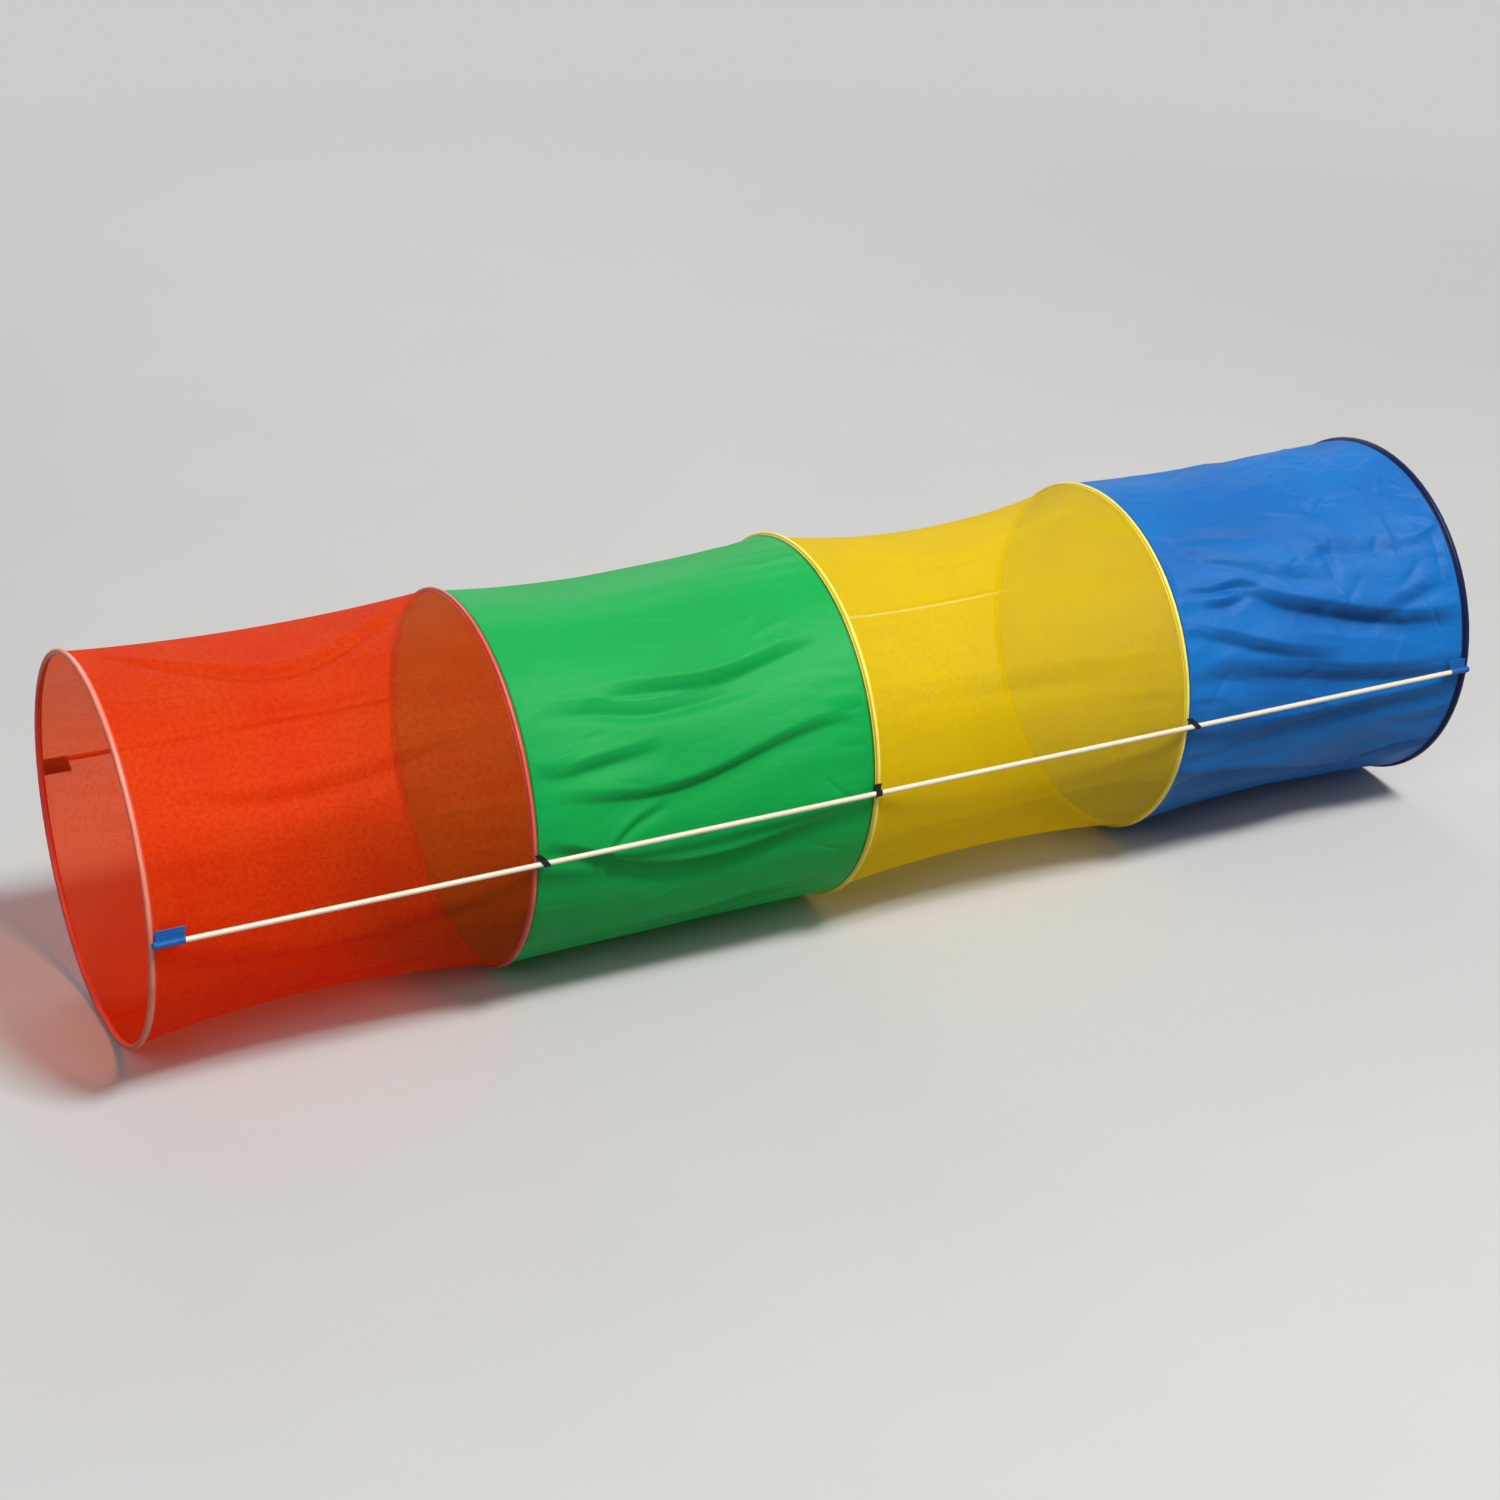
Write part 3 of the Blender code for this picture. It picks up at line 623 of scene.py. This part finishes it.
def bay_radius(share, angle, top_sag, bottom_lift, fold_strength, folds, details):
    """The cloth's radius with its waist, folds and small details, and how far each point is under a fold."""
    inside = np.clip(share, 0, 1)
    top = (1 - np.cos(angle)) / 2
    radius = HOOP_RADIUS - np.sin(np.pi * inside) ** WAIST_POWER * (top_sag * top + bottom_lift * (1 - top))
    undersides = np.zeros(share.shape)
    for fold in folds:
        rise, underside = fold_rise(inside, angle, fold)
        radius = radius + fold_strength * rise
        undersides = np.maximum(undersides, underside)
    fade_length = 0.03
    edge = np.clip(np.minimum(share, 1 - share) / fade_length, 0, 1)
    radius = radius + edge * edge * (3 - 2 * edge) * details(inside, angle)
    over = np.maximum(radius - CLOTH_LIMIT, 0)
    return np.minimum(radius, CLOTH_LIMIT) + LIMIT_SPAN * (1 - np.exp(-over / LIMIT_SPAN)), undersides


def make_bay(bay, colour, kind, material, grid, form, folds, details):
    """One bay's cloth as a fine tube from hoop to hoop.
    grid is its rows and sides. form is its sag at the top, its lift at the bottom and its folds' strength."""
    name, slot, node_name = f"{colour}_bay", f"{colour}_{kind}", f"{colour}_{kind}_bay"
    rows, sides = grid
    start = HOOP_PLACES[bay]
    # The rows lie closer together towards the hoops
    t = np.linspace(0, 1, rows + 1)
    spread = 0.5 * t + 0.5 * (1 - np.cos(np.pi * t)) / 2
    x = TUCK + spread * (BAY_LENGTH - 2 * TUCK)
    share_line = (x - BAY_INSET) / (BAY_LENGTH - 2 * BAY_INSET)
    angle_line = np.arange(sides) * math.tau / sides
    share, angle = np.meshgrid(share_line, angle_line, indexing="ij")
    radius, undersides = bay_radius(share, angle, *form, folds, details)
    points = np.stack([
        np.broadcast_to((start + x)[:, None], radius.shape),
        radius * np.sin(angle),
        CENTRE_HEIGHT - radius * np.cos(angle),
    ], axis=2)
    lowest = 0.0012
    points[:, :, 2] = np.maximum(points[:, :, 2], lowest)
    flat = flat_grid(x, np.arange(sides + 1) * CLOTH_ROUND / sides)
    mesh = grid_mesh(name, points, flat, wrap_columns=True)
    # The fold undersides, where the cloth's material paints shade
    layer = mesh.attributes.new("underside", "FLOAT", "POINT")
    layer.data.foreach_set("value", undersides.astype(np.float32).ravel())
    cloth = add_object(name, mesh, material)
    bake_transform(cloth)
    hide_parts(node_name)
    return cloth


def green_details(share, angle):
    broad = smooth_noise(3, share, angle, 1.6, 2.2)
    fine = smooth_noise(4, share, angle, 4.0, 6.0)
    packed = creases(share, angle, 21, 56, -0.3, 0.0017)
    rumpled = 0.0024 * broad + 0.0008 * fine + packed
    return rumpled + gathers(share, angle, 11, 0.0006) + beside_hoops(share, 0.0022)


def blue_details(share, angle):
    broad = smooth_noise(5, share, angle, 2.0, 2.8)
    crumple = 0.5 - np.abs(smooth_noise(6, share, angle, 3.4, 5.5)) * 2
    packed = creases(share, angle, 22, 95, 0.15, 0.0024)
    packed = packed + creases(share, angle, 24, 44, 0.3, 0.0034, (0.20, 0.44), (0.49, 0.69), 0.8)
    rumpled = 0.0026 * broad + 0.0026 * crumple + packed
    return rumpled + gathers(share, angle, 12, 0.0008) + beside_hoops(share, 0.0022)


def net_details(share, angle):
    broad = smooth_noise(8, share, angle, 2.0, 3.0)
    packed = creases(share, angle, 23, 24, 0.1, 0.0006)
    return 0.0014 * broad + packed + gathers(share, angle, 13, 0.0006)


# The hoops' bindings

def hoop_path(count):
    """Points, normals and lengths of a hoop's line: a circle with a straight stretch where it stands."""
    half = math.asin(STANDING_FLAT / 2 / HOOP_RADIUS)
    flat_points = 8
    angles = np.linspace(half, math.tau - half, count - flat_points)
    arc = np.stack([HOOP_RADIUS * np.sin(angles), -HOOP_RADIUS * np.cos(angles)], axis=1)
    share = np.linspace(0, 1, flat_points + 2)[1:-1, None]
    flat = arc[-1] + (arc[0] - arc[-1]) * share
    line = np.concatenate([arc, flat])
    normals = np.concatenate([arc / HOOP_RADIUS, np.tile([0.0, -1.0], (flat_points, 1))])
    before, after = np.roll(normals, 1, axis=0), np.roll(normals, -1, axis=0)
    normals = normals + 0.5 * (before + after)
    normals /= np.linalg.norm(normals, axis=1)[:, None]
    return line, normals, travelled_along(np.concatenate([line, line[:1]]))


def binding_section(half_width, lips):
    """(Along the tunnel, outwards, flat distance) points round the folded tape, its lips along the cloth."""
    height = 0.0036
    half_lip = 0.0005
    reach = half_width + 0.0013
    points = []
    for way in (1, -1):
        bare = way not in lips
        first = 0.0 if bare else math.asin(half_lip / height)
        angles = np.linspace(first, math.pi / 2, 8)
        arc = [(way * half_width * math.cos(a), height * math.sin(a)) for a in angles]
        side = arc if bare else [(way * reach, half_lip * 0.5), (way * (reach - 0.0005), half_lip)] + arc
        points.append(side)
    outer = points[0] + points[1][::-1][1:]
    lower = [(x, -z) for x, z in outer[::-1]]
    if 1 not in lips:
        lower = lower[:-1]
    if -1 not in lips:
        lower = lower[1:]
    section = np.array(outer + lower)
    run = travelled_along(np.concatenate([section, section[:1]]))
    crown = run[np.argmax(section[:, 1])]
    flat = (run - crown + run[-1] / 2) % run[-1] - run[-1] / 2
    return section, flat


def make_binding(index, material, half_width, lips):
    name = HOOP_NAMES[index]
    line, normals, travelled = hoop_path(240)
    section, flat = binding_section(half_width, lips)
    random = np.random.default_rng(40 + index)
    turns = np.arange(len(line)) * math.tau / len(line)
    waves = []
    for _ in range(18):
        strength, count, phase = random.uniform(0.2, 1.0), random.integers(50, 110), random.uniform(0, 6)
        waves.append(strength * np.cos(count * turns + phase))
    pucker = 1 + 0.010 * sum(waves[:9])[:, None]
    sway = 1 + 0.016 * sum(waves[9:])[:, None]
    along, out = section[:, 0], section[:, 1]
    y = line[:, :1] + normals[:, :1] * out[None, :] * pucker
    z = line[:, 1:] + normals[:, 1:] * out[None, :] * pucker
    x = along[None, :] * sway + HOOP_PLACES[index]
    points = np.stack([x, y, z + CENTRE_HEIGHT], axis=2)
    points[:, :, 2] = np.maximum(points[:, :, 2], 0.0)
    u, v = np.meshgrid(travelled, flat, indexing="ij")
    mesh = grid_mesh(name, points, np.stack([u, v], axis=2), wrap_columns=True, wrap_rows=True)
    binding = add_object(f"{name}_binding", mesh, material)
    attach(binding, f"{name}_hoop")
    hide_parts(f"{name}_hoop_binding")
    return binding


# The side rods

def lathe_x(name, stations, sides=28):
    """A surface turned about the X axis through (place, radius) stations, closed at both ends."""
    angles = np.arange(sides) * math.tau / sides
    points = np.array([[(x, r * math.cos(a), r * math.sin(a)) for a in angles] for x, r in stations])
    run = np.concatenate([[0.0], np.cumsum([math.dist(a, b) for a, b in zip(stations, stations[1:])])])
    round_it = np.arange(sides + 1) * math.tau * max(r for _, r in stations) / sides
    mesh = grid_mesh(name, points, flat_grid(run, round_it), wrap_columns=True)
    bm = bmesh.new()
    bm.from_mesh(mesh)
    bm.verts.ensure_lookup_table()
    for base in (0, (len(stations) - 1) * sides):
        bm.faces.new([bm.verts[base + i] for i in range(sides)])
    bmesh.ops.recalc_face_normals(bm, faces=bm.faces)
    bm.to_mesh(mesh)
    bm.free()
    return mesh


def make_side_rod(name, side, tube_material, plug_material):
    place = Matrix.Translation((0.0, side * ROD_OFFSET, CENTRE_HEIGHT))
    reach = ROD_REACH - PLUG_HEAD - PLUG_GAP
    bore, rim = ROD_RADIUS - ROD_WALL, ROD_RADIUS - 0.0004
    steps = np.linspace(-reach + 0.0006, reach - 0.0006, 60)
    outer = [(-reach, rim), *[(x, ROD_RADIUS) for x in steps], (reach, rim)]
    tube = lathe_x(f"{name}_tube", [(-reach, bore), *outer, (reach, bore)])
    bm = bmesh.new()
    bm.from_mesh(tube)
    caps = [f for f in bm.faces if len(f.verts) > 4]
    bmesh.ops.delete(bm, geom=caps, context="FACES_ONLY")
    ends = [e for e in bm.edges if e.is_boundary]
    bmesh.ops.bridge_loops(bm, edges=ends)
    bmesh.ops.recalc_face_normals(bm, faces=bm.faces)
    bm.to_mesh(tube)
    bm.free()
    tube.transform(place)
    rod = add_object(f"{name}_tube", tube, tube_material)
    rod.data.set_sharp_from_angle(angle=math.radians(50))
    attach(rod, f"{name}_rod")
    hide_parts(f"{name}_rod_tube")
    # A plug: its stem in the bore, and its head with a straight stretch and a rounded edge
    shoulder, stem = ROD_REACH - PLUG_HEAD, bore - 0.0003
    straight, rounding, end_radius = 0.0016, 0.0014, 0.0018
    profile = [
        (shoulder - 0.012, bore - 0.0006), (shoulder - 0.0113, stem), (shoulder, stem),
        (shoulder, ROD_RADIUS - 0.0002), (shoulder + 0.0002, ROD_RADIUS), (shoulder + straight, ROD_RADIUS),
    ]
    for a in np.linspace(0, math.pi / 2, 6)[1:]:
        radius = end_radius + (ROD_RADIUS - end_radius) * math.cos(a)
        profile.append((shoulder + straight + rounding * math.sin(a), radius))
    for end, way in (("front", -1), ("rear", 1)):
        plug = lathe_x(f"{name}_{end}_plug", [(way * x, r) for x, r in profile])
        plug.transform(place)
        piece = add_object(f"{name}_{end}_plug", plug, plug_material)
        piece.data.set_sharp_from_angle(angle=math.radians(50))
        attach(piece, f"{name}_rod")
        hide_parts(f"{name}_rod_{end}_plug")


# The pockets and loops: a strip folded round the rod, its two ends together as a tab

def strap_line(radius, tab, gap, points_round=26, points_tab=9):
    """(Away from the tunnel, along the tab) points of the strip's middle line, from tab end to tab end."""
    inner = [(-radius - gap, t) for t in np.linspace(tab, radius * 0.2, points_tab)]
    turn = np.linspace(math.pi, math.tau + math.radians(128), points_round)
    arc = [(radius * math.cos(a), radius * math.sin(a)) for a in turn]
    last = np.array(arc[-1])
    end = np.array((-radius + gap, tab))
    bend = np.array((-radius + gap, radius * 1.6))
    outer = []
    for s in np.linspace(0, 1, points_tab)[1:]:
        outer.append(tuple((1 - s) ** 2 * last + 2 * s * (1 - s) * bend + s * s * end))
    return np.array(inner + arc + outer)


def thicken(name, points, flat, thickness, material):
    """A sheet over a grid of points, with its thickness on both sides of them."""
    piece = add_object(name, grid_mesh(name, points, flat), material)
    modifier = piece.modifiers.new("thickness", "SOLIDIFY")
    modifier.thickness = thickness
    modifier.offset = 0.0
    modifier.use_rim = True
    return piece


def set_strap(points, places, side, slants, curl):
    """The strip's line set down at places along the tunnel. curl bends the tab in towards the cloth."""
    rows = []
    for place, slant in zip(places, slants):
        row = []
        for away, along_tab in points:
            beyond = max(0.0, along_tab - 0.003)
            out = side * (ROD_OFFSET + away - curl * beyond * beyond)
            row.append((place + slant * max(0.0, along_tab), out, CENTRE_HEIGHT - side * along_tab))
        rows.append(row)
    return np.array(rows)


def make_stitches(name, lines, material, length=0.0022, thread=0.00028, pitch=0.0031):
    """Stitches laid along lines of points: each a small rounded bar that dips at its ends."""
    bm = bmesh.new()
    for line in lines:
        line = np.array(line)
        travelled = travelled_along(line)
        at = pitch / 2
        while at + length / 2 < travelled[-1]:
            ends = [
                np.array([np.interp(s, travelled, line[:, k]) for k in range(3)])
                for s in (at - length / 2, at + length / 2)
            ]
            way = Vector(ends[1] - ends[0]).normalized()
            middle = Vector((ends[0] + ends[1]) / 2)
            turn = way.to_track_quat("X", "Z").to_matrix().to_4x4()
            made = bmesh.ops.create_icosphere(bm, subdivisions=1, radius=1.0)
            size = Matrix.Diagonal((length / 2, thread, thread, 1.0))
            bmesh.ops.transform(bm, matrix=Matrix.Translation(middle) @ turn @ size, verts=made["verts"])
            at += pitch
    mesh = bpy.data.meshes.new(name)
    bm.to_mesh(mesh)
    bm.free()
    return add_object(name, mesh, material)


def make_pocket(end, way, body, side_name, side, cloth, thread):
    """A pocket of folded cloth: a sleeve round the rod's end and a tab of two layers, closed at the hoop."""
    name = f"{side_name}_{end}_pocket"
    line = strap_line(radius=0.00385, tab=0.0150, gap=0.0003)
    hoop_x = HOOP_PLACES[0] if way > 0 else HOOP_PLACES[-1]
    first, reach, rows = 0.0036, POCKET_REACH[end], 22
    places = hoop_x + way * np.linspace(first, reach, rows)
    slants = way * np.linspace(0.0, 0.26, rows)
    points = set_strap(line, places, side, slants, curl=4.0)
    random = np.random.default_rng(60 + side + 3 * way)
    waves = np.zeros((rows, len(line)))
    t = np.linspace(0, 1, rows)[:, None]
    s = np.linspace(0, 1, len(line))[None, :]
    for _ in range(6):
        a, b, c = random.uniform(0, math.tau), random.uniform(2, 9), random.uniform(1, 5)
        waves += np.sin(a + b * t * math.tau * 0.5 + c * s * math.tau)
    rumple, thickness, proud = 0.00011, 0.0005, 0.0005
    points[:, :, 1] += side * rumple * np.abs(waves)
    flat = flat_grid(SEAM_CLEARANCE + np.linspace(0, reach, rows), SEAM_CLEARANCE + travelled_along(line))
    pocket = thicken(name, points, flat, thickness, cloth)
    smooth = pocket.modifiers.new("rounding", "SUBSURF")
    smooth.levels = smooth.render_levels = 1
    apply_modifiers(pocket)

    # Stitching along the tab's end, and across the closed end at the hoop
    tab_edge = [tuple(points[r, -3]) for r in range(1, rows - 1)]
    base = [tuple(points[1, c]) for c in range(-9, 0)]
    lines = [
        [(x, y + side * proud, z) for x, y, z in tab_edge],
        [(x + way * 0.0009, y + side * proud, z) for x, y, z in base],
    ]
    stitches = make_stitches(f"{name}_stitches", lines, thread)
    cap = make_end_cap(f"{name}_end", hoop_x, way, side, cloth)
    for piece in (pocket, stitches, cap):
        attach(piece, body)
        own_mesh(piece)
    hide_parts(name)


def make_end_cap(name, hoop_x, way, side, material):
    """A pocket's closed end at its hoop: the cloth drawn round over the rod's plug."""
    profile = [(0.0048, 0.0041), (0.0048, 0.0045), (0.0036, 0.0046), (0.0018, 0.0045)]
    for a in np.linspace(0, math.pi / 2, 7):
        profile.append((0.0010 - 0.0020 * math.sin(a), 0.0043 * math.cos(a) + 0.0002))
    sides = 28
    rings = np.array([[
        (hoop_x + way * x, side * ROD_OFFSET + radius * math.cos(b), CENTRE_HEIGHT + radius * math.sin(b))
        for b in np.arange(sides) * math.tau / sides
    ] for x, radius in profile])
    flat = flat_grid(
        SEAM_CLEARANCE + np.linspace(0.0, 0.009, len(profile)), SEAM_CLEARANCE + np.arange(sides + 1) * 0.001,
    )
    return add_object(name, grid_mesh(name, rings, flat, wrap_columns=True), material)


def make_loop(hoop, offset, side_name, side, material):
    """An elastic loop round the rod, its two ends sewn into the hoop's binding."""
    index = HOOP_NAMES.index(hoop)
    name = f"{side_name}_{hoop}_loop"
    line = strap_line(radius=0.00390, tab=0.0105, gap=0.0004, points_round=30, points_tab=7)
    # The tab slants back from beside the hoop to its binding
    slant = (math.copysign(0.001, offset) - offset) / 0.012
    width, thickness, rows = 0.0085, 0.0009, 7
    places = HOOP_PLACES[index] + offset + np.linspace(-width / 2, width / 2, rows)
    points = set_strap(line, places, side, [slant] * rows, curl=0.0)
    flat = flat_grid(np.linspace(0, width, rows), travelled_along(line))
    loop = thicken(name, points, flat, thickness, material)
    bevel = loop.modifiers.new("soft edges", "BEVEL")
    bevel.width = 0.0002
    bevel.segments = 2
    bevel.limit_method = "ANGLE"
    apply_modifiers(loop)
    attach(loop, f"{hoop}_hoop")
    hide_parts(name)


def apply_modifiers(piece):
    graph = bpy.context.evaluated_depsgraph_get()
    mesh = bpy.data.meshes.new_from_object(piece.evaluated_get(graph))
    piece.modifiers.clear()
    piece.data = mesh
    piece.data.shade_smooth()


# Everything in its place

green_cloth = taffeta(
    "green_taffeta", (0.001, 0.36, 0.062), (0.002, 0.49, 0.098), (0.05, 0.64, 0.20),
    wrinkle_size=0.050, seed=0.0, painted_fold_shade=0.22,
)
blue_cloth = taffeta(
    "blue_taffeta", (0.001, 0.078, 0.36), (0.003, 0.170, 0.56), (0.07, 0.36, 0.82),
    wrinkle_size=0.035, seed=1.5, through_share=0.16, painted_fold_shade=0.66,
)
pocket_cloth = taffeta(
    "pocket_taffeta", (0.002, 0.060, 0.24), (0.005, 0.105, 0.38), (0.14, 0.36, 0.75),
    wrinkle_size=0.012, seed=3.0, through_share=0.05,
)
red_net = net(
    "red_net", (0.96, 0.040, 0.003), (1.0, 0.130, 0.008), (1.0, 0.14, 0.01),
    hole_edge=0.922, see_through=0.48, through_share=0.24, mottled=0.45,
)
yellow_net = net(
    "yellow_net", (1.0, 0.66, 0.001), (1.0, 0.74, 0.002), (1.0, 0.78, 0.02),
    hole_edge=0.83, see_through=0.13, through_share=0.32, mottled=0.15, sheen_line_ends=((0.864, 0.0), (0.850, 0.27)),
)

# The front hoop's tape: a paler copy of the red tape, with painted highlight where the front hoop catches the
# light
highlit_front_tape = tape(
    "highlit_front_red_tape", (0.50, 0.016, 0.008), (0.74, 0.040, 0.022), (0.96, 0.36, 0.23), (0.80, 0.10, 0.06),
)
red_tape = tape(
    "red_tape", (0.36, 0.008, 0.004), (0.55, 0.022, 0.012), (0.86, 0.15, 0.09), (0.70, 0.07, 0.04),
    shine=0.15,
)
yellow_tape = tape(
    "yellow_tape", (0.80, 0.52, 0.004), (0.95, 0.74, 0.012), (1.0, 0.90, 0.20), (0.95, 0.80, 0.10),
)
navy_tape = tape(
    "navy_tape", (0.001, 0.004, 0.028), (0.002, 0.008, 0.060), (0.004, 0.014, 0.09), (0.02, 0.04, 0.16),
    shine=0.02, gloss=0.15,
)

pocket_thread = pole("pocket_thread", (0.10, 0.24, 0.55), (0.04, 0.12, 0.34), 0.5)
black_elastic = elastic("black_elastic")
rod_plastic = pole("rod_plastic", (0.81, 0.72, 0.57), (0.73, 0.63, 0.48), 0.34)
plug_plastic = pole("plug_plastic", (0.80, 0.78, 0.72), (0.70, 0.67, 0.60), 0.45)
glass_fibre = pole("glass_fibre", (0.60, 0.58, 0.50), (0.48, 0.45, 0.36), 0.42)
ferrule_steel = steel("ferrule_steel")

bindings = [
    make_binding(0, highlit_front_tape, 0.0036, (1,)),
    make_binding(1, red_tape, 0.0026, (-1, 1)),
    make_binding(2, yellow_tape, 0.0026, (-1, 1)),
    make_binding(3, yellow_tape, 0.0026, (-1, 1)),
    make_binding(4, navy_tape, 0.0046, (-1,)),
]

net_grid, cloth_grid = (120, 400), (170, 540)
bays = [
    make_bay(0, "red", "mesh", red_net, net_grid, (0.009, 0.020, 1.1), RED_FOLDS, net_details),
    make_bay(1, "green", "cloth", green_cloth, cloth_grid, (0.016, 0.001, 1.0), GREEN_FOLDS, green_details),
    make_bay(2, "yellow", "mesh", yellow_net, net_grid, (0.026, 0.014, 1.1), YELLOW_FOLDS, net_details),
    make_bay(3, "blue", "cloth", blue_cloth, cloth_grid, (0.006, 0.011, 1.05), BLUE_FOLDS, blue_details),
]

for side_name, side in (("right", RIGHT), ("left", LEFT)):
    make_side_rod(side_name, side, rod_plastic, plug_plastic)
    for end, way, joint in (("front", 1, "red_bay_fold"), ("rear", -1, "blue_bay_fold")):
        make_pocket(end, way, f"{end}_hoop", side_name, side, pocket_cloth, pocket_thread)
    for hoop, offset in (("second", 0.011), ("middle", -0.004), ("fourth", 0.012)):
        make_loop(hoop, offset, side_name, side, black_elastic)

for name in HOOP_NAMES:
    for part, material in (("rod", glass_fibre), ("ferrule", ferrule_steel)):
        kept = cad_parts[f"{name}_hoop_{part}"]
        kept.data.materials.clear()
        kept.data.materials.append(material)

# Floor, light and camera
floor_mesh = bpy.data.meshes.new("floor")
far = 30
floor_mesh.from_pydata([(-far, -far, 0), (far, -far, 0), (far, far, 0), (-far, far, 0)], [], [(0, 1, 2, 3)])
floor = add_object("floor", floor_mesh, ground("pale_floor"))
floor.location.z = -0.0005

world = bpy.data.worlds.new("studio")
world.use_nodes = True
world_tree = world.node_tree
background = world_tree.nodes["Background"]
sky = blend_colour(world_tree, seen_rays(world_tree), (0.152, 0.156, 0.16), BACKDROP)
world_tree.links.new(sky, background.inputs["Color"])
background.inputs["Strength"].default_value = 1.0
bpy.context.scene.world = world


def add_softbox(name, place, target, size, power, colour):
    light = bpy.data.lights.new(name, "AREA")
    light.shape = "RECTANGLE"
    light.size, light.size_y = size
    light.energy = power
    light.color = colour
    holder = bpy.data.objects.new(name, light)
    holder.location = place
    holder.rotation_euler = (Vector(target) - Vector(place)).to_track_quat("-Z", "Y").to_euler()
    bpy.context.scene.collection.objects.link(holder)


add_softbox("key", (1.6, -3.3, 7.0), (0.0, 0.0, 0.2), (1.7, 1.7), 630.0, (1.0, 0.985, 0.96))
add_softbox("side", (-3.0, -2.6, 2.8), (-0.2, 0.0, 0.25), (1.5, 1.5), 35.0, (1.0, 1.0, 1.0))
add_softbox("back", (0.8, 4.2, 2.6), (0.0, 0.0, 0.25), (3.0, 1.6), 62.0, (0.98, 0.99, 1.0))

CAMERA_PLACE = Vector((-1.59758, -2.91781, 1.83466))
CAMERA_RIGHT = Vector((0.89059302, -0.45377623, 0.03051564))
CAMERA_UP = Vector((0.17803513, 0.40958541, 0.89473085))
CAMERA_FOCAL_PIXELS = 2901.43
camera_data = bpy.data.cameras.new("camera")
camera_data.sensor_width = 36.0
camera_data.lens = camera_data.sensor_width * CAMERA_FOCAL_PIXELS / IMAGE_SIZE
camera = bpy.data.objects.new("camera", camera_data)
axes = Matrix((CAMERA_RIGHT, CAMERA_UP, CAMERA_RIGHT.cross(CAMERA_UP))).transposed()
camera.matrix_world = Matrix.Translation(CAMERA_PLACE) @ axes.to_4x4()
bpy.context.scene.collection.objects.link(camera)
bpy.context.scene.camera = camera
bpy.context.scene.view_settings.view_transform = "Standard"
